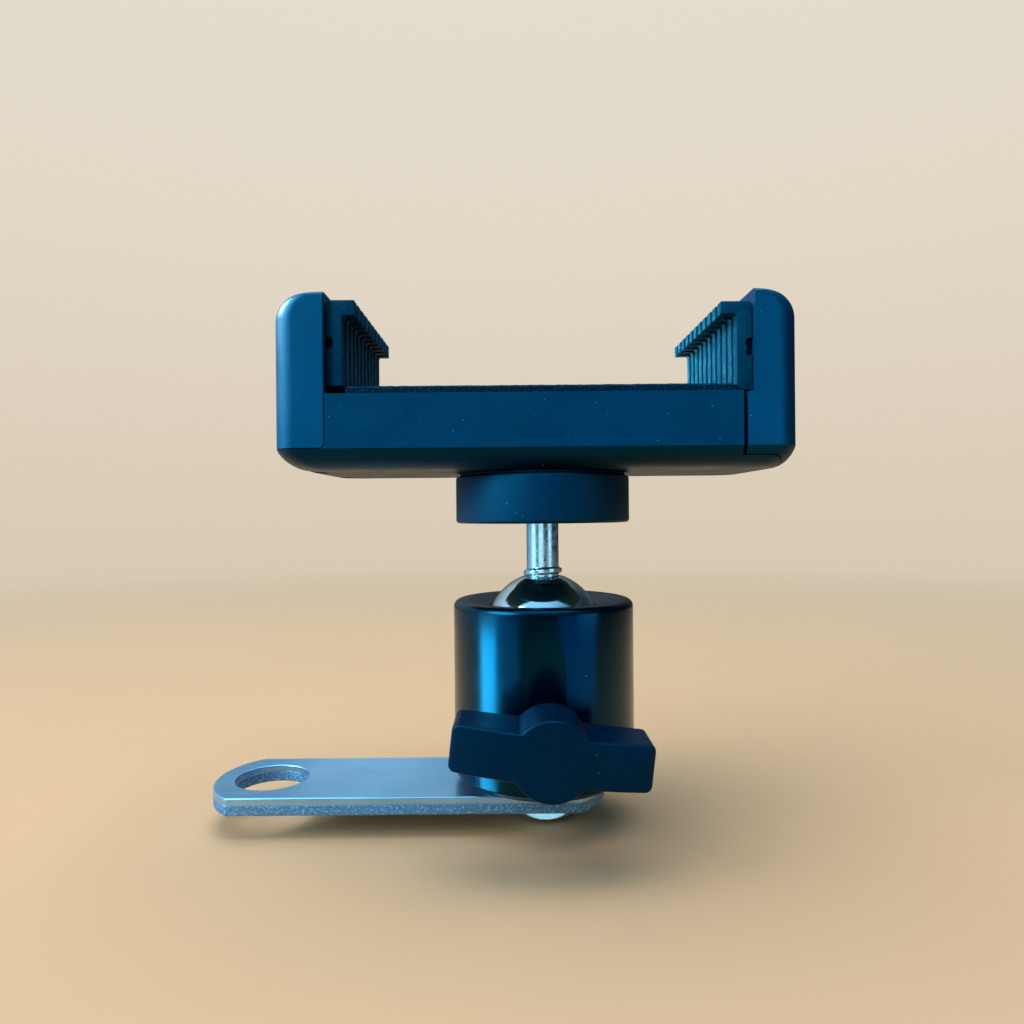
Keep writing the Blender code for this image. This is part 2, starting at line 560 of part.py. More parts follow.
def make_liner(name, face, back, bottom, top, lip_end, lip_under):
    """A rubber lining with upright ribs that run on over its lip. All the sizes are at the ribs."""
    step = RIB_HEIGHT if face > back else -RIB_HEIGHT
    lift, slope = RIB_HEIGHT * 0.6, 0.2
    rib = [(back, bottom), (back, top), (lip_end, top), (lip_end, lip_under), (face, lip_under)]
    rib.append((face, bottom))
    groove = [(back, bottom), (back, top), (lip_end - step, top - lift)]
    groove += [(lip_end - step, lip_under + lift), (face - step, lip_under + lift)]
    groove.append((face - step, bottom))
    pitch = (2 * LINER_HALF_WIDTH - RIB_WIDTH) / (RIB_COUNT - 1)
    stations = [(-LINER_HALF_WIDTH, rib)]
    for i in range(RIB_COUNT - 1):
        start = -LINER_HALF_WIDTH + RIB_WIDTH + i * pitch
        end = start + pitch - RIB_WIDTH
        stations += [(start, rib), (start + slope, groove), (end - slope, groove), (end, rib)]
    stations.append((LINER_HALF_WIDTH, rib))
    rings = [[(x, y, z) for x, z in outline] for y, outline in stations]
    loft(name, rings, parent=CLAMP_AXIS, finish="black_rubber")


def make_sliding_jaw():
    """The moving block, with a forked tongue that runs in the tray on either side of its boss."""
    seam = toe_curve(GAP)
    outline = [(CLAMP_RIGHT + 1, CLAMP_BOTTOM - 1), (CLAMP_RIGHT + 1, CLAMP_TOP + 1)]
    outline += [(SLIDING_JAW_FACE, CLAMP_TOP + 1), (SLIDING_JAW_FACE, BAR_TOP)]
    outline += [(SLIDING_JAW_LOWER_FACE, BAR_TOP - 0.2), (SLIDING_JAW_LOWER_FACE, seam[-1][1])]
    outline += [*seam[::-1], (seam[0][0], CLAMP_BOTTOM - 1)]
    jaw = side_plate("sliding_jaw", outline, finish="clamp_plastic")
    combine(jaw, ENVELOPE, "INTERSECT")
    low = SLIDING_JAW_FACE - 2, -POCKET_HALF_WIDTH, BAR_TOP + 1
    high = SLIDING_JAW_FACE + POCKET_DEPTH, POCKET_HALF_WIDTH, POCKET_TOP
    cut(jaw, clamp_box("sliding_jaw_pocket", low, high))
    right, width = SLIDING_JAW_LOWER_FACE + 2, TONGUE_HALF_WIDTH
    tongue = [(TONGUE_LEFT, -width), (right, -width), (right, width), (TONGUE_LEFT, width)]
    tongue += [(TONGUE_LEFT, FORK_HALF_WIDTH)]
    tongue += arc((0, 0), (FORK_HALF_WIDTH, FORK_HALF_WIDTH), 90, -90, 12)
    tongue += [(TONGUE_LEFT, -FORK_HALF_WIDTH)]
    join(jaw, plate("tongue", [tongue], TONGUE_BOTTOM, TONGUE_TOP, parent=CLAMP_AXIS))
    for i, y in enumerate((-SPRING_Y, SPRING_Y)):
        centre = (JAW_POST_X, y)
        join(jaw, clamp_pin(f"jaw_post_{i}", POST_RADIUS, TONGUE_TOP - 1, POST_TOP, centre, 12))


def make_springs():
    """Two tension springs that pull the sliding jaw home, from the tray's posts to the tongue's."""
    start, end = TRAY_POST_X + POST_RADIUS + 0.7, JAW_POST_X - POST_RADIUS - 0.7
    count = SPRING_TURNS * POINTS_A_TURN
    for name, y in (("front_spring", -SPRING_Y), ("rear_spring", SPRING_Y)):
        curve = bpy.data.curves.new(name, "CURVE")
        curve.dimensions = "3D"
        curve.bevel_depth = SPRING_WIRE * MM
        curve.bevel_resolution = 2
        curve.use_fill_caps = True
        spline = curve.splines.new("POLY")
        spline.points.add(count)
        for i, point in enumerate(spline.points):
            angle = 2 * pi * i / POINTS_A_TURN
            x = start + (end - start) * i / count
            coil = (y + SPRING_RADIUS * cos(angle), SPRING_Z + SPRING_RADIUS * sin(angle))
            point.co = (x * MM, coil[0] * MM, coil[1] * MM, 1)
        curve.materials.append(MATERIALS["spring_steel"])
        spring = bpy.data.objects.new(name, curve)
        spring.parent = CLAMP_AXIS
        PARTS.objects.link(spring)


make_bar()
make_base_screw()
make_housing()
make_plug()
make_seat()
make_plate_and_wedge()
make_knob()
make_ball()
make_stud()
make_disc()
make_tray()
make_lid()
make_foam()
make_insert()
make_fixed_jaw()
make_liner("fixed_jaw_liner", -31.7, -34.25, 69.9, 83.3, -29.8, 80.9)
make_sliding_jaw()
make_liner("sliding_jaw_liner", 30.0, 32.4, 68.7, 82.6, 27.5, 80.6)
make_springs()
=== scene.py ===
"""The looks of the phone handlebar mount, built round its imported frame.

The other sizes are named in millimetres, and MM turns them into metres. X is counted along the bar,
and the clamp's own X from the ball head's axis.
"""

import json
from math import acos, atan2, cos, pi, radians, sin, sqrt, tan

import bmesh
import bpy
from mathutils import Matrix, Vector, noise


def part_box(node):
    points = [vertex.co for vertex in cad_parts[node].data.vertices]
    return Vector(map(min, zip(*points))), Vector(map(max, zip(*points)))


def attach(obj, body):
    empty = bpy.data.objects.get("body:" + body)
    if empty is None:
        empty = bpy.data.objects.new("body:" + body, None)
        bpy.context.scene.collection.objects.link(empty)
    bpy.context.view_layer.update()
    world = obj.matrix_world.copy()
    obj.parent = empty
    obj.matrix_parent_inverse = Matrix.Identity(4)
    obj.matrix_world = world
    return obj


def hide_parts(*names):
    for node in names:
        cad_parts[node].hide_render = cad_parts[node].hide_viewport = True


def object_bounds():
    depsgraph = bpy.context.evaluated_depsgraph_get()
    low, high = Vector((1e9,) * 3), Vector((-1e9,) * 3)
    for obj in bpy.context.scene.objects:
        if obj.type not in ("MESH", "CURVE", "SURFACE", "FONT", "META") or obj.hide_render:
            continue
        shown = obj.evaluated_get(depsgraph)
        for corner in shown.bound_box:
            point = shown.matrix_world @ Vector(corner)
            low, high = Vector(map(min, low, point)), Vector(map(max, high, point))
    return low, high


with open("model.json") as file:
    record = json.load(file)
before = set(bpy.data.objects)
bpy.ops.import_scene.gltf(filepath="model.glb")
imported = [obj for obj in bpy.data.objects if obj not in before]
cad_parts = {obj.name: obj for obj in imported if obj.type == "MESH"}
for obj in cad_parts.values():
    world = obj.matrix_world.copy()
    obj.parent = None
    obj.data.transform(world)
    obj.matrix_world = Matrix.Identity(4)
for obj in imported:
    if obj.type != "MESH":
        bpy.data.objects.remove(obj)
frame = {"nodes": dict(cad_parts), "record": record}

CAD_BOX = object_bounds()
MM = 0.001
WELD, SLIVER = 0.01, 0.025  # millimetres


def span(node):
    """The lowest and highest corner of a CAD node, in millimetres."""
    low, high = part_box(node)
    return low / MM, high / MM


# Sizes read from the frame
BAR_LOW, BAR_HIGH = span("mount_bracket")
HOUSING_LOW, HOUSING_HIGH = span("ball_housing")
BALL_LOW, BALL_HIGH = span("ball")
STUD_LOW, STUD_HIGH = span("stud")
KNOB_LOW, KNOB_HIGH = span("wing_knob")
DISC_LOW, DISC_HIGH = span("lock_disc")
WASHER_LOW, WASHER_HIGH = span("friction_washer")
PLUG_LOW, PLUG_HIGH = span("base_plug")
BASE_SCREW_LOW, BASE_SCREW_HIGH = span("base_screw")
TRAY_LOW, TRAY_HIGH = span("housing_tray")
FIXED_LOW, FIXED_HIGH = span("fixed_jaw")
SLIDING_LOW, SLIDING_HIGH = span("sliding_jaw")
FOAM_LOW, FOAM_HIGH = span("foam_pad")

HEAD_X = (HOUSING_LOW.x + HOUSING_HIGH.x) / 2
HEAD = (HEAD_X, 0)
HOUSING_RADIUS = (HOUSING_HIGH.x - HOUSING_LOW.x) / 2
BALL_RADIUS = (BALL_HIGH.x - BALL_LOW.x) / 2
BALL_Z = BALL_LOW.z + BALL_RADIUS
DISC_RADIUS = (DISC_HIGH.x - DISC_LOW.x) / 2
CLAMP_BOTTOM, CLAMP_TOP = TRAY_LOW.z, FIXED_HIGH.z
CLAMP_LEFT, CLAMP_RIGHT = FIXED_LOW.x - HEAD_X, SLIDING_HIGH.x - HEAD_X
CLAMP_DEPTH = FIXED_HIGH.y
BAR_TOP = TRAY_HIGH.z


# Building meshes


def placed(name, data):
    """A new object in the scene."""
    obj = bpy.data.objects.new(name, data)
    bpy.context.scene.collection.objects.link(obj)
    return obj


def piece(name, mesh, body, nodes, slot):
    """Adds a mesh as a piece that rides on a body, stands for CAD nodes and has a slot's finish."""
    obj = placed(name, mesh)
    mesh.materials.clear()
    mesh.materials.append(FINISHES[slot])
    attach(obj, body)
    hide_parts(*nodes)
    return obj


def mesh_of(points, faces, smooth=32):
    """A mesh from points in millimetres, with its faces turned outwards."""
    mesh = bpy.data.meshes.new("shape")
    mesh.from_pydata([Vector(point) * MM for point in points], [], faces)
    shape = bmesh.new()
    shape.from_mesh(mesh)
    bmesh.ops.recalc_face_normals(shape, faces=shape.faces)
    shape.to_mesh(mesh)
    shape.free()
    return smoothed(mesh, smooth)


def smoothed(mesh, angle):
    """Shades a mesh smoothly, apart from edges sharper than an angle in degrees."""
    mesh.shade_smooth()
    mesh.set_sharp_from_angle(angle=radians(angle))
    return mesh


def lathe(profile, steps=96, centre=(0, 0), closed=True):
    """Turns (radius, height) points about an upright axis. An open profile ends on the axis."""
    points, rows = [], []
    for radius, height in profile:
        start = len(points)
        if radius < 0.0001:
            rows.append([start] * steps)
            points.append((*centre, height))
            continue
        rows.append(list(range(start, start + steps)))
        for i in range(steps):
            angle = 2 * pi * i / steps
            x, y = centre[0] + radius * cos(angle), centre[1] + radius * sin(angle)
            points.append((x, y, height))
    return mesh_of(points, ring_faces(rows, closed))


def ring_faces(rows, closed=False):
    """Faces between rings of point numbers that match one to one."""
    faces = []
    pairs = list(zip(rows, rows[1:])) + ([(rows[-1], rows[0])] if closed else [])
    for first, second in pairs:
        count = len(first)
        for i in range(count):
            j = (i + 1) % count
            corners = dict.fromkeys((first[i], first[j], second[j], second[i]))
            if len(corners) > 2:
                faces.append(list(corners))
    return faces


def loft(rings):
    """A closed skin through rings of points that match one to one, capped at both ends."""
    count = len(rings[0])
    rows = [list(range(i * count, (i + 1) * count)) for i in range(len(rings))]
    faces = [*ring_faces(rows), rows[0], rows[-1]]
    return mesh_of([point for ring in rings for point in ring], faces)


def prism(outline, low, high, axis="z"):
    """Draws a flat outline out along an axis, from low to high."""
    place = {
        "x": lambda u, v, w: (w, u, v),
        "y": lambda u, v, w: (u, w, v),
        "z": lambda u, v, w: (u, v, w),
    }[axis]
    return loft([[place(u, v, w) for u, v in outline] for w in (low, high)])


def arc(centre, radius, start, end, steps):
    """Points along an arc, with its angles in degrees."""
    angles = [radians(start + (end - start) * i / steps) for i in range(steps + 1)]
    return [(centre[0] + radius * cos(a), centre[1] + radius * sin(a)) for a in angles]


def circle(radius, steps, centre=(0, 0)):
    return arc(centre, radius, 0, 360 - 360 / steps, steps - 1)


def filleted(points, radius, steps=4, closed=True):
    """Rounds the corners of an outline. radius is one number, or one for each corner."""
    radii = radius if isinstance(radius, (list, tuple)) else [radius] * len(points)
    found = []
    for i, (point, size) in enumerate(zip(points, radii)):
        if size == 0 or (not closed and i in (0, len(points) - 1)):
            found.append(point)
            continue
        here = Vector(point)
        back = Vector(points[i - 1]) - here
        ahead = Vector(points[(i + 1) % len(points)]) - here
        half = acos(max(-1, min(1, back.normalized().dot(ahead.normalized())))) / 2
        reach = min(size / tan(half), 0.48 * back.length, 0.48 * ahead.length)
        size = reach * tan(half)
        middle = (back.normalized() + ahead.normalized()).normalized()
        centre = here + middle * (size / sin(half))
        first, last = here + back.normalized() * reach, here + ahead.normalized() * reach
        begin = atan2(first.y - centre.y, first.x - centre.x)
        turn = atan2(last.y - centre.y, last.x - centre.x) - begin
        turn = (turn + pi) % (2 * pi) - pi
        for k in range(steps + 1):
            angle = begin + turn * k / steps
            found.append((centre.x + size * cos(angle), centre.y + size * sin(angle)))
    return found


def offset(outline, distance):
    """Moves an outline inwards by a small distance."""
    count = len(outline)
    area = sum(
        outline[i - 1][0] * outline[i][1] - outline[i][0] * outline[i - 1][1]
        for i in range(count)
    )
    side = 1 if area > 0 else -1
    found = []
    for i, point in enumerate(outline):
        before = (Vector(point) - Vector(outline[i - 1])).normalized()
        after = (Vector(outline[(i + 1) % count]) - Vector(point)).normalized()
        along = before + after
        normal = Vector((-along.y, along.x)).normalized() * side
        cosine = max(0.4, normal.dot(Vector((-before.y, before.x)) * side))
        found.append(tuple(Vector(point) + normal * distance / cosine))
    return found


def combined(mesh, changes, bevel=0.0, segments=2, angle=35, smooth=32):
    """Applies (operation, mesh) changes to a mesh as Booleans, and then rounds its edges."""
    obj, others = placed("helper", mesh), []
    for operation, other in changes:
        others.append(placed("helper", other))
        boolean = obj.modifiers.new("boolean", "BOOLEAN")
        boolean.operation = operation
        boolean.object = others[-1]
    weld = obj.modifiers.new("weld", "WELD")
    weld.merge_threshold = WELD * MM
    if bevel:
        rounding = obj.modifiers.new("rounding", "BEVEL")
        rounding.width = bevel * MM
        rounding.segments = segments
        rounding.limit_method = "ANGLE"
        rounding.angle_limit = radians(angle)
    graph = bpy.context.evaluated_depsgraph_get()
    made = bpy.data.meshes.new_from_object(obj.evaluated_get(graph))
    for used in (obj, *others):
        bpy.data.objects.remove(used)
    mend(made)
    return smoothed(made, smooth)


def mend(mesh):
    """Merges slivers where a bevel folded at a corner, and fills any gap that a Boolean left."""
    shape = bmesh.new()
    shape.from_mesh(mesh)
    crowded = [edge for edge in shape.edges if len(edge.link_faces) > 2]
    folded = [corner for corner in shape.verts if any(corner in edge.verts for edge in crowded)]
    bmesh.ops.remove_doubles(shape, verts=folded, dist=SLIVER * MM)
    loose = [edge for edge in shape.edges if not edge.link_faces]
    bmesh.ops.delete(shape, geom=loose, context="EDGES")
    gaps = [edge for edge in shape.edges if len(edge.link_faces) == 1]
    bmesh.ops.holes_fill(shape, edges=gaps, sides=0)
    shape.to_mesh(mesh)
    shape.free()


def weighted(obj):
    """Keeps flat faces flat beside their rounded edges."""
    normals = obj.modifiers.new("normals", "WEIGHTED_NORMAL")
    normals.keep_sharp = True
    normals.weight = 80


def block(low, high):
    outline = [(low[0], low[1]), (high[0], low[1]), (high[0], high[1]), (low[0], high[1])]
    return prism(outline, low[2], high[2])


def cut(mesh):
    return ("DIFFERENCE", mesh)


def add(mesh):
    return ("UNION", mesh)


def peg(radius, low, high, centre=(0, 0), steps=32):
    return lathe([(0, high), (radius, high), (radius, low), (0, low)], steps, centre, False)


# Materials

BLUE_BLACK = (0.015, 0.62, 1.0)


class Nodes:
    """A node tree, and short ways to add to it. A value is a socket or what a socket may be set to."""

    def __init__(self, tree):
        self.tree = tree

    def node(self, kind, **inputs):
        made = self.tree.nodes.new(kind)
        for name, value in inputs.items():
            self.feed(made.inputs[name.replace("_", " ")], value)
        return made

    def feed(self, socket, value):
        if isinstance(value, bpy.types.NodeSocket):
            self.tree.links.new(value, socket)
        else:
            socket.default_value = value

    def maths(self, operation, first, second):
        made = self.node("ShaderNodeMath")
        made.operation = operation
        self.feed(made.inputs[0], first)
        self.feed(made.inputs[1], second)
        return made.outputs[0]

    def spread(self, value, low, high, start=0.35, end=0.65):
        """A value from start to end made one from low to high."""
        limits = {"From_Min": start, "From_Max": end, "To_Min": low, "To_Max": high}
        return self.node("ShaderNodeMapRange", Value=value, **limits).outputs["Result"]

    def blend(self, factor, first, second):
        """A colour between two, where each is a socket or three numbers."""
        made = self.node("ShaderNodeMix")
        made.data_type = "RGBA"
        self.feed(made.inputs[0], factor)
        for socket, value in ((made.inputs[6], first), (made.inputs[7], second)):
            self.feed(socket, value if isinstance(value, bpy.types.NodeSocket) else (*value, 1))
        return made.outputs[2]


class Finish(Nodes):
    """A Principled material, and the nodes that vary it. Sizes are in millimetres."""

    def __init__(self, name, colour, roughness, metallic=0.0, specular=0.5, gleam=(1, 1, 1)):
        self.material = bpy.data.materials.new(name)
        self.material.use_nodes = True
        super().__init__(self.material.node_tree)
        self.shader = self.tree.nodes["Principled BSDF"]
        self.place = self.node("ShaderNodeTexCoord").outputs["Object"]
        self.set("Base Color", (*colour, 1))
        self.set("Roughness", roughness)
        self.set("Metallic", metallic)
        self.set("Specular IOR Level", specular)
        self.set("Specular Tint", (*gleam, 1))
        self.colour, self.height = colour, None

    def set(self, name, value):
        self.feed(self.shader.inputs[name], value)

    def grain(self, size, detail=3.0, stretch=(1, 1, 1), rough=0.55):
        """Noise from 0 to 1 whose features are about size across."""
        where = self.node("ShaderNodeMapping", Vector=self.place, Scale=stretch).outputs["Vector"]
        limits = {"Scale": 1 / (size * MM), "Detail": detail, "Roughness": rough}
        return self.node("ShaderNodeTexNoise", Vector=where, **limits).outputs["Fac"]

    def cells(self, size):
        """Round cells about size across. Distance grows from 0 at a cell's middle."""
        return self.node("ShaderNodeTexVoronoi", Vector=self.place, Scale=1 / (size * MM))

    def tint(self, factor, colour):
        """Moves the base colour towards another where factor is 1."""
        inputs = self.shader.inputs["Base Color"]
        now = inputs.links[0].from_socket if inputs.links else self.colour
        self.feed(inputs, self.blend(factor, now, colour))

    def patches(self, size, detail, share, colour, start=0.35, end=0.65):
        """Patches about size across that tint the base colour by up to share."""
        self.tint(self.spread(self.grain(size, detail), 0.0, share, start, end), colour)

    def rough(self, value):
        self.set("Roughness", value)

    def bump(self, height, depth):
        """Adds a relief whose full height is depth."""
        made = self.node("ShaderNodeBump", Height=height, Distance=depth * MM, Strength=1.0)
        if self.height is not None:
            self.feed(made.inputs["Normal"], self.height)
        self.height = made.outputs["Normal"]
        self.set("Normal", self.height)

    def dust_and_glints(self, size=2.2, share=0.10, colour=(0.45, 0.55, 0.62)):
        """Sparse pale specks, each far smaller than the space between them: dust, or painted glints
        where they are bright and many.
        """
        made = self.cells(size)
        near = self.spread(made.outputs["Distance"], 1.0, 0.0, 0.03, 0.07)
        apart = self.node("ShaderNodeSeparateColor", Color=made.outputs["Color"])
        chosen = self.maths("LESS_THAN", apart.outputs[0], share)
        self.tint(self.maths("MULTIPLY", near, chosen), colour)
        return self

    def facing(self, axis):
        """How far the surface faces an axis, from -1 to 1, at rest or in any pose."""
        normal = self.node("ShaderNodeTexCoord").outputs["Normal"]
        return self.node("ShaderNodeSeparateXYZ", Vector=normal).outputs[axis]

    def along(self, axis):
        return self.node("ShaderNodeSeparateXYZ", Vector=self.place).outputs[axis]


def moulded(name, colour, roughness=0.42, specular=0.45):
    """Moulded black plastic: a fine even grain, faint flow marks, dust, painted glints, and painted
    shade on its undersides.
    """
    made = Finish(name, colour, roughness, specular=specular, gleam=BLUE_BLACK)
    made.patches(14, 3, 0.55, [c * 0.75 for c in colour])
    made.patches(0.5, 2, 0.25, [c * 1.35 for c in colour])
    made.rough(made.spread(made.grain(6, 4), roughness - 0.05, roughness + 0.08))
    made.bump(made.grain(0.16, 2), 0.018)
    made.bump(made.grain(9, 1), 0.03)
    # Painted glints: many small bright teal specks stand in for the plastic's sparkle, not dust.
    made.dust_and_glints(1.6, 0.45, (0.10, 0.34, 0.46))
    # Painted shade: faces that turn downwards are darkened towards a fifth of the colour.
    made.tint(made.spread(made.facing(2), 1.0, 0.0, -0.40, -0.20), [c * 0.2 for c in colour])
    return made.dust_and_glints(3.2, 0.25).material


def brushed_zinc(name):
    """Zinc-plated bar stock: fine lines along X on the faces, and torn, speckled sheared edges."""
    made = Finish(name, (0.34, 0.58, 0.82), 0.34, 1.0)
    lines = made.grain(0.35, 4, (0.03, 1, 1), 0.7)
    made.tint(made.spread(lines, 0.0, 0.55), (0.45, 0.70, 0.92))
    made.patches(9, 4, 0.5, (0.22, 0.45, 0.68))
    edge = made.maths("LESS_THAN", made.maths("ABSOLUTE", made.facing(2), 0), 0.5)
    low = made.spread(made.along(2), 1.0, 0.0, 0.00165, 0.00195)
    torn = made.maths("MULTIPLY", edge, low)
    pits = made.grain(0.42, 3, (1, 1, 1.3), 0.7)
    made.tint(made.maths("MULTIPLY", torn, 0.75), (0.06, 0.19, 0.36))
    speck = made.maths("MULTIPLY", torn, made.spread(pits, 0.0, 1.0, 0.52, 0.62))
    made.tint(speck, (0.30, 0.60, 0.90))
    made.rough(made.maths("ADD", made.spread(lines, 0.28, 0.42), made.maths("MULTIPLY", torn, 0.2)))
    made.bump(lines, 0.006)
    made.bump(made.maths("MULTIPLY", torn, pits), 0.10)
    return made.material


def plated(name, colour=(0.50, 0.74, 0.88), roughness=0.20):
    """Bright zinc plate with faint turning lines and cloudy patches."""
    made = Finish(name, colour, roughness, 1.0)
    lines = made.grain(0.22, 3, (0.15, 0.15, 1.6))
    made.patches(1.6, 4, 0.45, [c * 0.72 for c in colour])
    made.rough(made.spread(made.grain(1.1, 4), roughness - 0.05, roughness + 0.13))
    made.bump(lines, 0.008)
    return made.material


def gloss_paint(name):
    """Thick black gloss over turned metal, with orange peel and dust."""
    made = Finish(name, (0.0003, 0.0015, 0.005), 0.20, specular=0.5, gleam=BLUE_BLACK)
    made.rough(made.spread(made.grain(5, 4), 0.17, 0.24))
    made.bump(made.grain(1.3, 2), 0.006)
    made.bump(made.grain(0.16, 2), 0.003)
    return made.dust_and_glints(2.6, 0.10, (0.30, 0.50, 0.62)).material


def chrome(name):
    """Mirror chrome with light wiping marks."""
    made = Finish(name, (0.82, 0.83, 0.84), 0.05, 1.0)
    made.rough(made.spread(made.grain(1.4, 5, (1, 1, 0.4)), 0.03, 0.12))
    made.patches(3, 3, 0.3, (0.62, 0.64, 0.68))
    made.bump(made.grain(0.5, 3, (1, 1, 0.2)), 0.0012)
    return made.material


def rubber(name, colour, roughness=0.6):
    """Soft moulded rubber with a fine tooth and chalky wear."""
    made = Finish(name, colour, roughness, specular=0.3, gleam=BLUE_BLACK)
    made.patches(3.5, 4, 0.6, [c * 0.6 for c in colour])
    made.patches(0.6, 3, 0.4, [c * 1.9 for c in colour], 0.5, 0.7)
    made.rough(made.spread(made.grain(1.5, 3), roughness - 0.08, roughness + 0.12))
    made.bump(made.grain(0.35, 3), 0.03)
    return made.dust_and_glints(2.4, 0.12).material


def foam(name):
    """Open-cell foam: painted shade in its small pores, between lighter struts."""
    made = Finish(name, (0.001, 0.016, 0.034), 0.9, specular=0.2, gleam=BLUE_BLACK)
    pores = made.cells(0.42).outputs["Distance"]
    # Painted shade: the middle of each pore is darkened.
    made.tint(made.spread(pores, 1.0, 0.0, 0.1, 0.42), (0.001, 0.004, 0.010))
    made.patches(0.45, 3, 0.8, (0.004, 0.050, 0.085), 0.5, 0.7)
    made.patches(5, 3, 0.4, (0.001, 0.010, 0.022))
    made.bump(pores, 0.16)
    made.bump(made.grain(0.3, 3), 0.08)
    return made.material


def turned_metal(name, colour, roughness=0.3):
    """Plain turned metal with fine tool lines round its axis."""
    made = Finish(name, colour, roughness, 1.0)
    made.patches(2, 3, 0.4, [c * 0.7 for c in colour])
    made.rough(made.spread(made.grain(0.8, 3), roughness - 0.06, roughness + 0.1))
    made.bump(made.grain(0.18, 2, (0.1, 0.1, 1.5)), 0.006)
    return made.material


def nylon(name):
    made = Finish(name, (0.78, 0.76, 0.70), 0.42)
    made.set("Subsurface Weight", 0.1)
    made.patches(4, 3, 0.4, (0.66, 0.64, 0.58))
    made.bump(made.grain(0.5, 3), 0.01)
    return made.material


FINISHES = {
    "zinc_bar": brushed_zinc("brushed_zinc_bar"),
    "bright_zinc": plated("bright_zinc_plate"),
    "base_steel": turned_metal("blackened_steel", (0.05, 0.075, 0.10), 0.38),
    "black_paint": gloss_paint("black_gloss_paint"),
    "nylon": nylon("natural_nylon"),
    "inner_steel": turned_metal("turned_steel", (0.50, 0.52, 0.54)),
    "knob_plastic": moulded("knob_black_plastic", (0.0003, 0.009, 0.025), 0.32, 0.3),
    "ball_chrome": chrome("mirror_chrome"),
    "disc_plastic": moulded("disc_black_plastic", (0.0006, 0.032, 0.075), 0.50),
    "brass": turned_metal("turned_brass", (0.72, 0.52, 0.22), 0.25),
    "washer_rubber": rubber("washer_black_rubber", (0.006, 0.014, 0.022)),
    "clamp_plastic": moulded("clamp_black_plastic", (0.0006, 0.048, 0.104), 0.38),
    "liner_rubber": rubber("liner_black_rubber", (0.001, 0.046, 0.085)),
    "foam": foam("black_foam"),
    "spring_wire": turned_metal("spring_steel_wire", (0.42, 0.44, 0.47), 0.24),
}


# The bar


def make_bar():
    """Flat stock with round-ended holes and lightly rolled edges."""
    half, end_radius = BAR_HIGH.y, 12.5
    stem_hole, screw_hole = 6.25, 3.4
    half_angle = atan2(half, sqrt(end_radius**2 - half**2)) * 180 / pi
    left = arc((BAR_LOW.x + end_radius, 0), end_radius, 180 - half_angle, 180 + half_angle, 40)
    right = arc((BAR_HIGH.x - end_radius, 0), end_radius, -half_angle, half_angle, 40)
    low, high = BAR_LOW.z, BAR_HIGH.z
    changes = [cut(peg(stem_hole, low - 1, high + 1, steps=96))]
    changes.append(cut(peg(screw_hole, low - 1, high + 1, HEAD, 64)))
    mesh = combined(prism(left + right, low, high), changes, bevel=0.28, segments=3)
    weighted(piece("bar", mesh, "bracket", ["mount_bracket"], "zinc_bar"))


def make_base_screw():
    """A pan head with a cross recess, under the bar."""
    radius, shank = (BASE_SCREW_HIGH.x - BASE_SCREW_LOW.x) / 2, 3.175
    low, head_top, top, point = BASE_SCREW_LOW.z, -0.02, BASE_SCREW_HIGH.z, 0.5
    dome_top, steps = head_top - 1.3, 12
    profile = [(0, top), (shank - point, top), (shank, top - point), (shank, head_top)]
    profile += [(radius - 0.15, head_top), (radius, head_top - 0.2), (radius, dome_top)]
    for i in range(1, steps + 1):
        angle = pi / 2 * i / steps
        dome = dome_top + (low - dome_top) * sin(angle)
        profile.append((radius * cos(angle) ** 0.75 if i < steps else 0, dome))
    arm, half, depth = 3.0, 0.55, 2.0
    across = block((HEAD_X - arm, -half, low - 1), (HEAD_X + arm, half, low + depth))
    along = block((HEAD_X - half, -arm, low - 1), (HEAD_X + half, arm, low + depth))
    centre = peg(1.15, low - 1, low + depth + 0.4, HEAD, 24)
    body = lathe(profile, 96, HEAD, False)
    mesh = combined(body, [cut(across), cut(along), cut(centre)], bevel=0.06)
    piece("base_pan_screw", mesh, "head", ["base_screw"], "bright_zinc")


# The ball head


def make_housing():
    """A turned cup with a soft rim, a dished throat and a hole for the knob's screw."""
    low, high, outer, bore, dish = HOUSING_LOW.z, HOUSING_HIGH.z, HOUSING_RADIUS, 10.6, 13.4
    socket, throat, steps = BALL_RADIUS + 0.25, radians(24.5), 9
    profile = [(outer, high), (outer, low), (bore, low), (bore, BALL_Z - 0.4)]
    for i in range(steps):
        angle = throat * (i + 0.5) / (steps - 0.5)
        profile.append((socket * cos(angle), BALL_Z + socket * sin(angle)))
    profile.append((socket * cos(throat) + 0.35, BALL_Z + socket * sin(throat) + 0.15))
    profile.append((dish, high))
    radii = [2.0, 0.45, 0.4, 0] + [0] * steps + [0.25, 0.35]
    body = lathe(filleted(profile, radii, 8), 160, HEAD)
    screw_hole, knob_z = 2.9, (KNOB_LOW.z + KNOB_HIGH.z) / 2
    hole = prism(circle(screw_hole, 32, (HEAD_X, knob_z)), -outer - 5, -8, "y")
    mesh = combined(body, [cut(hole)], bevel=0.2, angle=50)
    piece("painted_housing", mesh, "head", ["ball_housing"], "black_paint")


def make_plug():
    """The foot that closes the housing below, and that the base screw goes up into."""
    bore, body, flange, gap = 3.4, 10.35, (PLUG_HIGH.x - PLUG_LOW.x) / 2, 0.02
    shoulder, bottom = HOUSING_LOW.z - gap, BAR_HIGH.z + gap
    profile = [(bore, PLUG_HIGH.z), (body, PLUG_HIGH.z), (body, shoulder), (flange, shoulder)]
    profile += [(flange, bottom), (bore, bottom)]
    mesh = lathe(filleted(profile, [0, 0.4, 0, 0.15, 0.3, 0], 4), 96, HEAD)
    piece("foot_plug", mesh, "head", ["base_plug"], "base_steel")


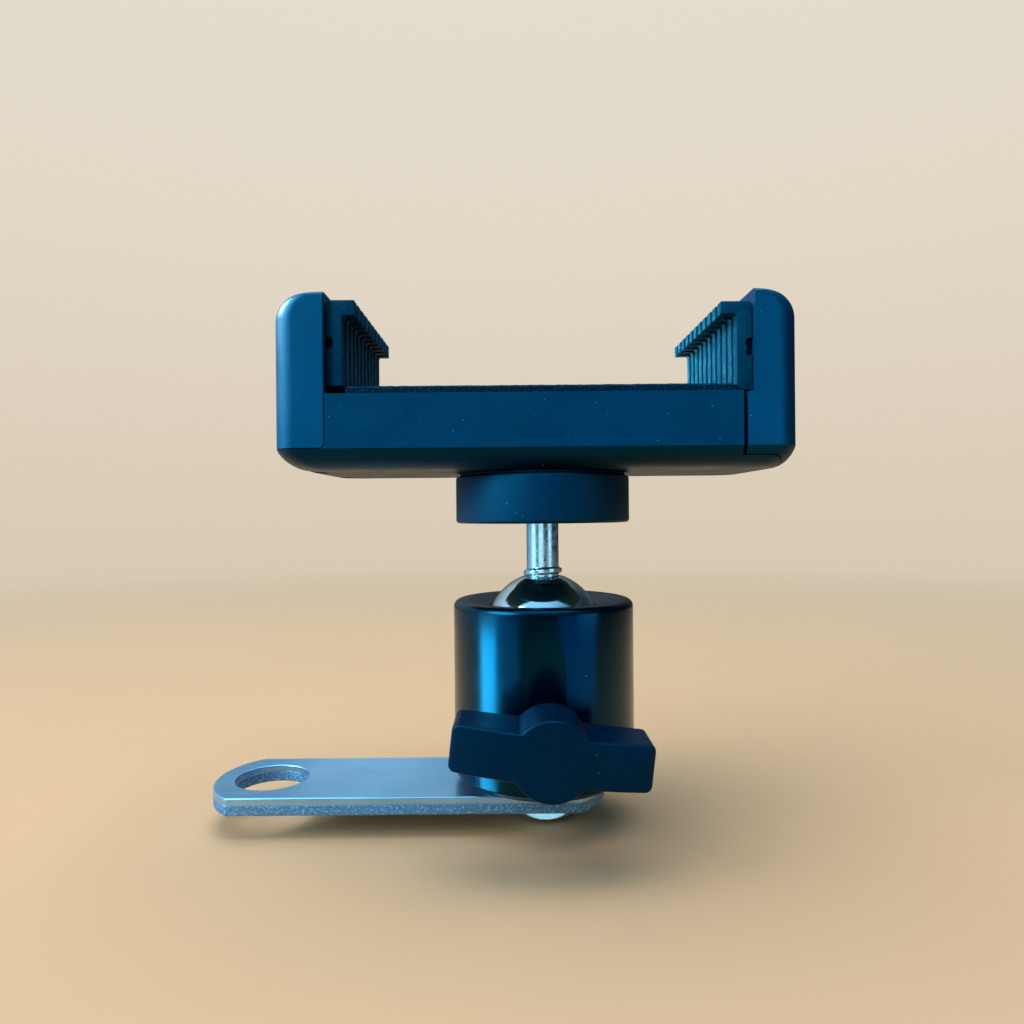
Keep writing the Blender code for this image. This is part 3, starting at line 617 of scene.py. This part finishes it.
def make_ball():
    """The ball with its flat, on which the stud's collar stands."""
    socket, bottom, steps, sunk = 2.9, 31.0, 64, 0.012
    flat = BALL_HIGH.z - BALL_Z
    start = atan2(flat, sqrt(BALL_RADIUS**2 - flat**2))
    profile = [(0, bottom), (socket, bottom), (socket, BALL_HIGH.z)]
    profile.append((BALL_RADIUS * cos(start) - 0.15, BALL_HIGH.z))
    for i in range(steps + 1):
        angle = start - sunk + (-pi / 2 - start + sunk) * i / steps
        radius = BALL_RADIUS * cos(angle) if i < steps else 0
        profile.append((radius, BALL_Z + BALL_RADIUS * sin(angle)))
    mesh = lathe(profile, 128, HEAD, False)
    piece("chrome_ball", mesh, "ball", ["ball"], "ball_chrome")


def make_stud():
    """A plain neck between a cut thread above and one turn of thread that runs out at the ball."""
    neck, root, crest, pitch = 2.85, 2.62, 3.1, 1.27
    spigot, steps, rise = 2.6, 56, 0.1
    low, high, collar = STUD_LOW.z, STUD_HIGH.z, BALL_HIGH.z + 0.02
    thread_start = DISC_LOW.z + 0.6

    def radius_at(height, angle):
        if height > thread_start:
            turn = ((height - thread_start) / pitch - angle / (2 * pi)) % 1
            ramp = min(1, (height - thread_start) / pitch)
            end = min(1, max(0, (high - height) / 0.6))
            tooth = 1 - abs(2 * turn - 1)
            threaded = root + (crest - root) * min(1, tooth * 1.25)
            return (neck + (threaded - neck) * ramp) * (0.86 + 0.14 * end)
        slant = collar + 0.75 + 0.33 * cos(angle + 0.9)
        gap = abs(height - slant)
        return neck + 0.56 * max(0, 1 - max(0, gap - 0.34) / 0.28)

    profile = [low, collar]
    height = collar
    while height < high - rise / 2:
        step = rise if height < collar + 1.8 or height > thread_start - 0.2 else 1.2
        height = min(high, height + step)
        profile.append(height)
    rings = []
    for k, height in enumerate([low + 0.01, collar - 0.01, *profile[1:]]):
        ring = []
        for i in range(steps):
            angle = 2 * pi * i / steps
            radius = spigot if k < 2 else radius_at(height, angle)
            ring.append((HEAD_X + radius * cos(angle), radius * sin(angle), height))
        rings.append(ring)
    piece("threaded_stud", loft(rings), "ball", ["stud"], "bright_zinc")


def make_disc():
    """The locking disc, dished below round its bore, its pocket for the nut, and the washer on it."""
    bore, low, high, outer = 3.4, DISC_LOW.z, DISC_HIGH.z, DISC_RADIUS
    nut_low, nut_high = span("disc_nut")
    floor = low + 0.5
    profile = [(bore, high), (outer, high), (outer, low), (9.2, low), (8.4, floor)]
    profile += [(5.2, floor), (4.6, low), (bore, low)]
    radii = [0, 0.45, 0.55, 0.25, 0.25, 0.25, 0.25, 0.3]
    body = lathe(filleted(profile, radii, 5), 144, HEAD)
    flats = (nut_high.y - nut_low.y) / 2 + 0.3
    pocket = prism(circle(flats / cos(pi / 6), 6, HEAD), nut_low.z - 0.15, high + 1)
    mesh = combined(body, [cut(pocket)], bevel=0.15, angle=50)
    piece("locking_disc", mesh, "disc", ["lock_disc"], "disc_plastic")
    inner, radius = 3.6, (WASHER_HIGH.x - WASHER_LOW.x) / 2
    ring = [(inner, WASHER_HIGH.z), (radius, WASHER_HIGH.z)]
    ring += [(radius, WASHER_LOW.z), (inner, WASHER_LOW.z)]
    mesh = lathe(filleted(ring, 0.12, 3), 128, HEAD)
    piece("rubber_washer", mesh, "washer", ["friction_washer"], "washer_rubber")


def knob_outline(half_width, half_height, hub):
    """The upper half of the knob's outline, right to left, from the end of one wing to the other."""
    corner, root = 1.0, half_height - 0.05
    root_x, tip = sqrt(hub**2 - root**2), half_width - corner
    end = arc((tip, half_height - corner), corner, 0, 90, 8)
    wing = [(tip - (tip - hub) * i / 6, half_height) for i in (1, 3, 5)]
    dome = arc((0, 0), hub, atan2(root, root_x) * 180 / pi + 2, 90, 14)
    meet = [(root_x + 0.25, half_height - 0.02)]
    right = end + wing + meet + dome
    return right + [(-x, y) for x, y in right[-2::-1]]


def make_knob():
    """Two wings on a round hub, with a bulged front, soft edges and a boss behind."""
    half_width, half_height, hub, roll = 14.65, 3.425, 5.9, radians(6.7)
    bulge, rim, rear_rim, steps, boss, bore_radius = 2.0, 0.38, 0.3, 5, 4.5, 2.65
    front, rear = KNOB_LOW.y, KNOB_LOW.y + 10.2
    middle = Vector((HEAD_X, 0, (KNOB_LOW.z + KNOB_HIGH.z) / 2))
    bulge_radius = (half_width**2 + bulge**2) / (2 * bulge)
    upper = knob_outline(half_width, half_height, hub)
    outline = upper + [(x, -y) for x, y in upper[::-1]]

    def front_at(x):
        return front + bulge_radius - sqrt(bulge_radius**2 - x**2)

    rings = []
    for k in range(steps + 1):
        angle = pi / 2 * k / steps
        inset = rim * (1 - sin(angle))
        ring = offset(outline, inset)
        rings.append([(x, front_at(x) + rim * (1 - cos(angle)), z) for x, z in ring])
    for k in range(3):
        angle = pi / 2 * k / 2
        ring = offset(outline, rear_rim * (1 - cos(angle)))
        rings.append([(x, rear - rear_rim * (1 - sin(angle)), z) for x, z in ring])
    count = len(outline)
    points = [point for ring in rings for point in ring]
    rows = [list(range(i * count, (i + 1) * count)) for i in range(len(rings))]
    faces = ring_faces(rows)
    for row in (rows[0], rows[-1]):
        for i in range(count // 2 - 1):
            faces.append([row[i], row[i + 1], row[count - 2 - i], row[count - 1 - i]])
    turned = []
    for x, y, z in points:
        flat = (x * cos(roll) + z * sin(roll), -x * sin(roll) + z * cos(roll))
        turned.append((middle.x + flat[0], y, middle.z + flat[1]))
    body = mesh_of(turned, faces)
    boss_mesh = prism(circle(boss, 64, (middle.x, middle.z)), rear - 1, KNOB_HIGH.y, "y")
    bore = prism(circle(bore_radius, 32, (middle.x, middle.z)), rear - 5, KNOB_HIGH.y + 1, "y")
    mesh = combined(body, [add(boss_mesh), cut(bore)], smooth=40)
    weighted(piece("wing_grip", mesh, "knob", ["wing_knob"], "knob_plastic"))


# The clamp


def envelope():
    """The clamp's outer form: a box with rounded bottom edges and rounded outer top corners.

    Its sides run down to a lower edge, from where they curve under at an angle of lean.
    """
    drop, lean, left_reach, right_reach = 3.3, radians(20), 1.1, 0.55
    top_radius, top_edge, corner, steps = 4.3, 0.9, 3.5, 10
    bottom_radius = drop / (1 - sin(lean))
    rings = []
    for i in range(steps + 1):
        angle = pi / 2 - (pi / 2 - lean) * i / steps
        inset = bottom_radius * (cos(lean) - cos(angle))
        height = CLAMP_BOTTOM + drop - bottom_radius * (sin(angle) - sin(lean))
        rings.append(envelope_ring(height, inset * left_reach, inset * right_reach, inset, corner))
    for i in range(steps + 1):
        angle = pi / 2 * (steps - i) / steps
        inset = top_radius * (1 - sin(angle))
        height = CLAMP_TOP - top_radius * (1 - cos(angle))
        rings.append(envelope_ring(height, inset, inset, top_inset(height, top_edge), corner))
    return loft(rings)


def envelope_ring(height, left, right, deep, corner):
    """One level of the envelope, set in by so much at its left, its right, and front and back."""
    low = (HEAD_X + CLAMP_LEFT + left, deep - CLAMP_DEPTH)
    high = (HEAD_X + CLAMP_RIGHT - right, CLAMP_DEPTH - deep)
    corners = [(high[0], low[1]), high, (low[0], high[1]), low]
    return [(x, y, height) for x, y in filleted(corners, corner, 10)]


def top_inset(height, edge):
    """The smaller rounding of the long top edges, at the same height as the big one."""
    drop = CLAMP_TOP - height
    if drop >= edge:
        return 0.0
    return edge - sqrt(max(0, edge**2 - (edge - drop) ** 2))


def clamp_side(outline):
    """An outline in the clamp's own X and in Z, drawn out past both of its faces."""
    reach = CLAMP_DEPTH + BEYOND
    return prism([(HEAD_X + x, z) for x, z in outline], -reach, reach, "y")


def clamp_block(low, high):
    return block((HEAD_X + low[0], *low[1:]), (HEAD_X + high[0], *high[1:]))


def clamp_peg(radius, low, high, centre=(0, 0), steps=40):
    return peg(radius, low, high, (HEAD_X + centre[0], centre[1]), steps)


# Sizes that two or more of the clamp's pieces share
LID_SCREWS = [(-28.0, -13.2), (-28.0, 13.2), (24.0, -13.2), (24.0, 13.2)]
JAW_SCREWS, JAW_SCREW_HOLE = [(-38.5, -9.0), (-38.5, 9.0)], 1.6
FLOOR_TOP, TOE, TOE_LENGTH = 58.5, 37.4, 2.0
TRAY_LEFT, TRAY_RIGHT = -34.33, 30.7
SPRING_Y, POST_RADIUS, POST_TOP = 9.1, 1.1, 66.3
POCKET_DEPTH, POCKET_HALF, POCKET_TOP = 5.4, 15.5, 82.5
BEYOND = 1.0  # how far a cutter runs on past what it cuts


def seam_curve(reach, rise, steps=8):
    """The curved end of the tray's floor, under the sliding jaw."""
    angles = [pi / 2 * i / steps for i in range(steps + 1)]
    start = TOE - TOE_LENGTH
    return [(start + reach * cos(a), CLAMP_BOTTOM + rise * sin(a)) for a in angles]


def make_tray():
    """The clamp's open box, with posts and bosses on its floor and a mouth for the sliding jaw."""
    ledge, cavity_left, cavity_right, inside = FIXED_LOW.z - 0.08, -32.4, 28.9, 15.6
    mouth_right, mouth_half, mouth_top = 34, 11.2, 62.3
    hub, hub_top, hub_bore = 6.0, 64.4, 4.4
    boss, boss_top, boss_hole, counterbore = 2.1, 66.75, 1.3, 2.7
    under, above, spring_end = CLAMP_BOTTOM - BEYOND, 80, -31.0
    outline = [(CLAMP_LEFT - BEYOND, ledge), (CLAMP_LEFT - BEYOND, under)]
    outline += [(TOE, under), *seam_curve(TOE_LENGTH, FLOOR_TOP - CLAMP_BOTTOM)]
    outline += [(TRAY_RIGHT, FLOOR_TOP), (TRAY_RIGHT, BAR_TOP), (TRAY_LEFT, BAR_TOP)]
    outline.append((TRAY_LEFT, ledge))
    outline = filleted(outline, [0] * (len(outline) - 1) + [1.0], 6)
    cavity = clamp_block((cavity_left, -inside, FLOOR_TOP), (cavity_right, inside, above))
    mouth_left = cavity_right - BEYOND
    mouth = clamp_block((mouth_left, -mouth_half, FLOOR_TOP), (mouth_right, mouth_half, mouth_top))
    changes = [("INTERSECT", envelope()), cut(cavity), cut(mouth)]
    root = FLOOR_TOP - BEYOND
    changes.append(add(clamp_peg(hub, root, hub_top, steps=64)))
    changes.append(cut(clamp_peg(hub_bore, under, above, steps=64)))
    for y in (-SPRING_Y, SPRING_Y):
        changes.append(add(clamp_peg(POST_RADIUS, root, POST_TOP, (spring_end, y), 24)))
    for centre in LID_SCREWS:
        changes.append(add(clamp_peg(boss, root, boss_top, centre, 32)))
        changes.append(cut(clamp_peg(boss_hole, FLOOR_TOP + 1, above, centre, 24)))
    for centre in JAW_SCREWS:
        changes.append(cut(clamp_peg(JAW_SCREW_HOLE, under, 62, centre, 24)))
        changes.append(cut(clamp_peg(counterbore, under, FLOOR_TOP, centre, 40)))
    mesh = combined(clamp_side(outline), changes, bevel=0.14, segments=5, angle=40, smooth=19)
    weighted(piece("clamp_tray", mesh, "clamp", ["housing_tray"], "clamp_plastic"))


def make_fixed_jaw():
    """The left block, with a pocket for its lining and two holes for its screws."""
    face, bottom, pocket_bottom, hole_top = FIXED_HIGH.x - HEAD_X, FIXED_LOW.z, 64.5, 64.2
    left, top = CLAMP_LEFT - BEYOND, CLAMP_TOP + BEYOND
    outline = filleted([(left, bottom), (face, bottom), (face, top), (left, top)], [0, 0.95, 0, 0], 6)
    low = (face - POCKET_DEPTH, -POCKET_HALF, pocket_bottom)
    pocket = clamp_block(low, (face + BEYOND, POCKET_HALF, POCKET_TOP))
    changes = [("INTERSECT", envelope()), cut(pocket)]
    for centre in JAW_SCREWS:
        hole = clamp_peg(JAW_SCREW_HOLE, bottom - BEYOND, hole_top, centre, 24)
        changes.append(cut(hole))
    mesh = combined(clamp_side(outline), changes, bevel=0.18, segments=5, angle=40, smooth=19)
    weighted(piece("left_jaw", mesh, "clamp", ["fixed_jaw"], "clamp_plastic"))


def make_sliding_jaw():
    """The right block, with a forked tongue that runs in the tray and holds the springs' ends."""
    face, lower_face, step, seam_gap, spring_end = 32.55, 31.35, 0.2, 0.14, 2.0
    left, tongue, fork, tongue_low, tongue_high = SLIDING_LOW.x - HEAD_X, 10.8, 6.9, 58.8, 61.9
    right, under, top = CLAMP_RIGHT + BEYOND, CLAMP_BOTTOM - BEYOND, CLAMP_TOP + BEYOND
    seam = seam_curve(TOE_LENGTH + seam_gap, FLOOR_TOP - CLAMP_BOTTOM + seam_gap)
    outline = [(right, under), (right, top), (face, top), (face, BAR_TOP)]
    outline += [(lower_face, BAR_TOP - step), (lower_face, seam[-1][1])]
    outline += [*seam[::-1], (seam[0][0], under)]
    low = (face - 2 * BEYOND, -POCKET_HALF, BAR_TOP + 1)
    pocket = clamp_block(low, (face + POCKET_DEPTH, POCKET_HALF, POCKET_TOP))
    changes = [("INTERSECT", envelope()), cut(pocket)]
    jaw_block = combined(clamp_side(outline), changes, bevel=0.3, segments=5, angle=40)
    inner = lower_face + 2 * BEYOND
    flat = [(left, -tongue), (inner, -tongue), (inner, tongue), (left, tongue)]
    flat += [(left, fork), *arc((0, 0), fork, 90, -90, 24), (left, -fork)]
    arms = prism([(HEAD_X + x, y) for x, y in flat], tongue_low, tongue_high)
    changes = [add(arms)]
    for y in (-SPRING_Y, SPRING_Y):
        post = clamp_peg(POST_RADIUS, tongue_high - BEYOND, POST_TOP, (spring_end, y), 24)
        changes.append(add(post))
    mesh = combined(jaw_block, changes, smooth=19)
    weighted(piece("right_jaw", mesh, "jaw", ["sliding_jaw"], "clamp_plastic"))


def make_liner(name, node, body, inward, lip_under, lip_reach, recess):
    """A rubber lining with upright ribs that run on over its lip. inward is the way that it faces.

    recess lists the (x, z, radius) of the pits in its front end, with X counted from the face's back.
    """
    low, high = span(node)
    back, lip = (low.x, high.x) if inward > 0 else (high.x, low.x)
    face = lip - inward * lip_reach
    ribs, rib_share, deep, run, pit_depth = 11, 0.60, 0.60, 0.14, 1.2

    def section(raised):
        step = 0 if raised else inward * deep
        lift = 0 if raised else deep * 0.6
        corners = [(back, low.z), (back, high.z), (lip - step, high.z - lift)]
        corners += [(lip - step, lip_under + lift), (face - step, lip_under + lift)]
        corners.append((face - step, low.z))
        return filleted(corners, [0.3, 0.6, 0.18, 0.15, 0.4, 0.2], 4)

    flat, raised = section(False), section(True)

    def between(share):
        pairs = zip(flat, raised)
        return [(a[0] + (b[0] - a[0]) * share, a[1] + (b[1] - a[1]) * share) for a, b in pairs]

    pitch = (high.y - low.y) / (ribs - 1 + rib_share)
    front = [(low.y, offset(raised, 0.1)), (low.y + 0.03, offset(raised, 0.03)), (low.y + 0.1, raised)]
    stations = list(front)
    for i in range(ribs - 1):
        start, end = low.y + (i + rib_share) * pitch, low.y + (i + 1) * pitch
        edges = ((0, 1.0), (run * 0.3, 0.85), (run * 0.7, 0.15), (run, 0.0))
        stations += [(start + distance, between(share)) for distance, share in edges]
        stations += [(end - distance, between(share)) for distance, share in edges[::-1]]
    stations += [(low.y + high.y - y, outline) for y, outline in front[::-1]]
    rings = [[(x, y, z) for x, z in outline] for y, outline in stations]
    changes = []
    for x, z, radius in recess:
        pit = circle(radius, 24, (back + inward * x, z))
        changes.append(cut(prism(pit, low.y - 1, low.y + pit_depth, "y")))
    mesh = combined(loft(rings), changes, smooth=40)
    piece(name, mesh, body, [node], "liner_rubber")


def make_foam():
    """A thin strip of open foam: crowned edges, an uneven top and torn-looking cut sides."""
    low, high = FOAM_LOW, FOAM_HIGH
    cell, rim, sunk, side = 0.55, 0.35, 0.14, FOAM_HIGH.z - FOAM_LOW.z - 0.3
    across, deep = int((high.x - low.x) / cell), int((high.y - low.y) / cell)
    points, top = [], {}
    for i in range(across + 1):
        for j in range(deep + 1):
            x = low.x + (high.x - low.x) * i / across
            y = low.y + (high.y - low.y) * j / deep
            edge = min(x - low.x, high.x - x, y - low.y, high.y - y)
            drop = rim * max(0, 1 - edge / (2 * rim)) ** 2
            rough = noise.noise(Vector((x, y, 3.1)) * 1.7) * 0.06
            rough += noise.noise(Vector((x, y, 9.7)) * 0.35) * 0.03
            top[i, j] = len(points)
            points.append((x, y, high.z - sunk - drop + rough))
    faces = []
    for i in range(across):
        for j in range(deep):
            faces.append([top[i, j], top[i + 1, j], top[i + 1, j + 1], top[i, j + 1]])
    border = [top[i, 0] for i in range(across)]
    border += [top[across, j] for j in range(deep)]
    border += [top[i, deep] for i in range(across, 0, -1)]
    border += [top[0, j] for j in range(deep, 0, -1)]
    rows = [border]
    for level in (0.66, 0.33, 0.0):
        row = []
        for number in border:
            x, y, _ = points[number]
            torn = noise.noise(Vector((x, y, level * 3)) * 2.3) * 0.12 * (level > 0)
            out = Vector((x - HEAD_X, y, 0)).normalized() * torn
            row.append(len(points))
            points.append((x + out.x, y + out.y, low.z + level * side))
        rows.append(row)
    faces += ring_faces(rows)
    faces.append(rows[-1])
    mesh = mesh_of(points, faces, 60)
    strip = piece("foam_strip", mesh, "clamp", ["foam_pad"], "foam")


def make_screws():
    """The two screws up into the left jaw, with cross recesses, in their counterbores."""
    for i, (x, y) in enumerate(JAW_SCREWS):
        low, high = span(f"fixed_jaw_screw_{i + 1}")
        radius, shank, seat = (high.x - low.x) / 2, 1.3, FLOOR_TOP - 0.1
        profile = [(0, high.z), (shank, high.z), (shank, seat), (radius, seat)]
        profile += [(radius, low.z + 0.35), (radius * 0.8, low.z + 0.05), (0, low.z)]
        body = lathe(filleted(profile, 0.15, 3, closed=False), 48, (HEAD_X + x, y), False)
        cuts = []
        arm, half, recess_top = 1.3, 0.28, low.z + 0.7
        for reach in ((arm, half), (half, arm)):
            corner = (HEAD_X + x - reach[0], y - reach[1], low.z - 1)
            far = (HEAD_X + x + reach[0], y + reach[1], recess_top)
            cuts.append(cut(block(corner, far)))
        name, node = f"left_jaw_screw_{i + 1}", f"fixed_jaw_screw_{i + 1}"
        piece(name, combined(body, cuts), "clamp", [node], "bright_zinc")


def finish_cad_nodes():
    """The pieces that stay as the frame has them take their record slot's finish."""
    for row in frame["record"]["subparts"]:
        node = frame["nodes"][row["node"]]
        node.data.materials.clear()
        node.data.materials.append(FINISHES[row["material_slot"]])


# The stage


def area_light(name, place, target, size, power, colour, gloss_only=False):
    """A rectangular light that the camera doesn't see, and that may show only in reflections."""
    light = bpy.data.lights.new(name, "AREA")
    light.shape = "RECTANGLE"
    light.size, light.size_y = size
    light.energy = power
    light.color = colour
    obj = placed(name, light)
    obj.location = place
    obj.rotation_euler = (Vector(target) - Vector(place)).to_track_quat("-Z", "Y").to_euler()
    obj.visible_camera = False
    obj.visible_diffuse = not gloss_only
    return obj


def make_world():
    """A pale backdrop for the camera. Other rays see cool light from the upper left, near darkness
    ahead of the object and below it, and a faint warmer light behind it."""
    world = bpy.data.worlds.new("studio")
    bpy.context.scene.world = world
    world.use_nodes = True
    world.node_tree.nodes.clear()
    sky = Nodes(world.node_tree)
    direction = sky.node("ShaderNodeTexCoord").outputs["Generated"]
    along = sky.node("ShaderNodeSeparateXYZ", Vector=direction).outputs

    def ramp(value, start, end, low, high):
        result = sky.spread(value, low, high, start, end)
        result.node.interpolation_type = "SMOOTHSTEP"
        return result

    def towards(way):
        """How far a direction points one way, from -1 to 1."""
        made = sky.node("ShaderNodeVectorMath")
        made.operation = "DOT_PRODUCT"
        sky.feed(made.inputs[0], direction)
        sky.feed(made.inputs[1], way)
        return made.outputs["Value"]

    strength = ramp(towards((-0.60, -0.15, 0.79)), -0.2, 1.0, 0.06, 1.4)
    ahead, below = towards((-0.31, -0.95, 0.0)), towards((0.0, -0.45, -0.89))
    strength = sky.maths("MULTIPLY", strength, ramp(ahead, 0.78, 0.97, 1.0, 0.02))
    strength = sky.maths("MULTIPLY", strength, ramp(below, 0.3, 0.8, 1.0, 0.1))
    strength = sky.maths("ADD", strength, ramp(along[1], 0.5, 1.0, 0.0, 0.12))
    around = sky.blend(ramp(along[1], 0.1, 0.8, 0, 1), (0.22, 0.60, 1.0), (0.36, 0.46, 0.52))
    surround = sky.node("ShaderNodeBackground", Color=around, Strength=strength)
    backdrop = sky.blend(ramp(along[2], -0.4, 0.6, 0, 1), (0.66, 0.54, 0.40), (0.78, 0.72, 0.60))
    seen = sky.node("ShaderNodeBackground", Color=backdrop)
    mix = sky.node("ShaderNodeMixShader", Fac=sky.node("ShaderNodeLightPath").outputs["Is Camera Ray"])
    sky.feed(mix.inputs[1], surround.outputs[0])
    sky.feed(mix.inputs[2], seen.outputs[0])
    sky.node("ShaderNodeOutputWorld", Surface=mix.outputs[0])


def make_floor():
    """A pale floor that fades into the backdrop, and throws little of its light on the object."""
    colour, dim, reach, gap = (0.74, 0.46, 0.25), 0.08, 1.5, 0.0002
    shape = bmesh.new()
    bmesh.ops.create_circle(shape, cap_ends=True, segments=96, radius=reach)
    mesh = bpy.data.meshes.new("floor")
    shape.to_mesh(mesh)
    shape.free()
    floor = placed("floor", mesh)
    floor.location = (HEAD_X * MM, 0, CAD_BOX[0].z - gap)
    paint = Finish("pale_floor", colour, 0.85, specular=0.0)
    paint.patches(60, 3, 0.25, [c * 0.93 for c in colour])
    base = paint.shader.inputs["Base Color"]
    path = paint.node("ShaderNodeLightPath")
    bounce = [c * dim for c in colour]
    paint.feed(base, paint.blend(path.outputs["Is Diffuse Ray"], base.links[0].from_socket, bounce))
    paint.bump(paint.grain(2.5, 3), 0.02)
    distance = paint.node("ShaderNodeVectorMath", Vector=paint.place)
    distance.operation = "LENGTH"
    fade = paint.spread(distance.outputs["Value"], 1.0, 0.0, 0.10, 0.60)
    paint.set("Alpha", fade)
    floor.data.materials.append(paint.material)


def linked(light, names, state):
    """Lights only the named objects, or all but them."""
    chosen = bpy.data.collections.new(f"{light.name}_reach")
    for name in names:
        chosen.objects.link(bpy.data.objects[name])
    for row in chosen.collection_objects:
        row.light_linking.link_state = state
    light.light_linking.receiver_collection = chosen


def panel(name, place, target, size, glow, colour, only=()):
    """A soft panel that only shows in reflections, as bright as glow. only names what it lights."""
    power = pi * size[0] * size[1] * glow
    light = area_light(name, place, target, size, power, colour, gloss_only=True)
    if only:
        linked(light, only, "INCLUDE")


def make_lights():
    """Cool soft light from the upper left, warm light for the floor, and the panels."""
    middle, above = (HEAD_X * MM, 0, 0.045), (0.05, 0.05, 0.80)
    left, wide, warm = (-0.55, -0.35, 0.42), (0.7, 0.7), (1.0, 0.93, 0.86)
    cyan, teal, blue, pale = (0.06, 0.66, 1.0), (0.0, 0.68, 1.0), (0.0, 0.32, 1.0), (0.6, 0.9, 1.0)
    lamps = [("key", left, (0.45, 0.45), 9.5, (0.32, 0.78, 1.0), "EXCLUDE")]
    lamps.append(("top", above, wide, 5, (0.40, 0.78, 1.0), "EXCLUDE"))
    lamps += [("floor_key", left, wide, 4.0, warm, "INCLUDE")]
    lamps += [("floor_top", above, wide, 4.5, warm, "INCLUDE")]
    for name, place, size, power, colour, state in lamps:
        linked(area_light(name, place, middle, size, power, colour), ["floor"], state)

    cup = ["painted_housing", "foot_plug"]
    round_parts = [*cup, "wing_grip"]
    waist, neck = (HEAD_X * MM - 0.012, -0.012, 0.009), (HEAD_X * MM, 0, 0.044)
    panel("left_low", (-0.0205, -0.0285, 0.008), waist, (0.026, 0.034), 25, cyan, cup)
    low_blue, sky_blue, silver = (0.02, 0.50, 1.0), (0.62, 0.86, 1.0), (0.50, 0.84, 1.0)
    panel("left_wide", (-0.030, -0.075, 0.010), waist, (0.060, 0.040), 2.0, low_blue, round_parts)
    panel("left_tall", (-0.045, -0.035, 0.044), neck, (0.050, 0.036), 1.5, sky_blue)
    panel("right_tall", (0.120, -0.060, 0.044), neck, (0.040, 0.036), 1.5, silver)
    waist = (HEAD_X * MM + 0.006, -0.014, 0.020)
    panel("right_wide", (0.112, -0.083, 0.016), waist, (0.085, 0.050), 1.5, blue, round_parts)
    floor, bright = CAD_BOX[0].z + 0.0005, ["threaded_stud", "base_pan_screw"]
    panel("left_foot", (0.008, -0.016, floor), (0.008, -0.016, 1), (0.034, 0.010), 16, cyan, cup)
    panel("screw_foot", (0.0485, -0.014, floor), (0.0485, -0.014, 1), (0.03, 0.018), 0.9, pale, bright)
    panel("front", (0.010, -0.160, 0.020), neck, (0.10, 0.10), 1.4, pale, bright)

    mid_bar = (0.020, 0, 0.003)
    panel("bar_top", (-0.003, 0.132, 0.055), mid_bar, (0.06, 0.05), 0.55, pale, ["bar"])

    left_face, right_face = (0.008, -0.017, 0.070), (0.083, -0.017, 0.070)
    tall = (0.05, 0.06)
    panel("left_face", (-0.014, -0.094, 0.084), left_face, tall, 2.5, teal, ["left_jaw"])
    panel("right_face", (0.109, -0.092, 0.084), right_face, tall, 2.2, teal, ["right_jaw"])
    panel("left_edge", (-0.132, -0.047, 0.100), left_face, (0.08, 0.10), 3.4, teal, ["left_jaw"])
    panel("right_edge", (-0.070, -0.062, 0.100), right_face, (0.05, 0.05), 12, pale, ["right_jaw"])
    corner, behind, large = (0.0073, -0.016, 0.082), (0.050, 0.100, 0.085), (0.07, 0.06)
    panel("corner", (-0.120, 0.004, 0.162), corner, (0.05, 0.05), 95, pale, ["left_jaw"])
    panel("ribs", behind, (0.078, 0, 0.076), large, 7.5, cyan, ["right_liner"])
    panel("left_ribs", behind, (0.016, 0, 0.076), large, 0.25, cyan, ["left_liner"])


def make_camera():
    """The camera looks level along +Y, close up, and is rolled by half a degree."""
    camera = bpy.data.cameras.new("camera")
    camera.sensor_width, camera.lens = 36, 26
    camera.clip_start = 0.005
    obj = placed("camera", camera)
    obj.location = (0.0431, -0.132, 0.0499)
    obj.rotation_euler = (pi / 2, radians(0.5), 0)
    bpy.context.scene.camera = obj
    bpy.context.scene.view_settings.view_transform = "Standard"


make_camera()
finish_cad_nodes()
make_bar()
make_base_screw()
make_housing()
make_plug()
make_ball()
make_stud()
make_disc()
make_knob()
make_tray()
make_fixed_jaw()
make_sliding_jaw()
make_liner("left_liner", "fixed_jaw_liner", "clamp", 1, 80.9, 1.95, [(0.1, 76.6, 1.0)])
ragged_pits = [(0.35, 76.1, 0.75), (0.15, 75.0, 0.8), (0.6, 74.6, 0.5)]
make_liner("right_liner", "sliding_jaw_liner", "jaw", -1, 80.6, 2.5, ragged_pits)
make_foam()
make_screws()
make_world()
make_floor()
make_lights()
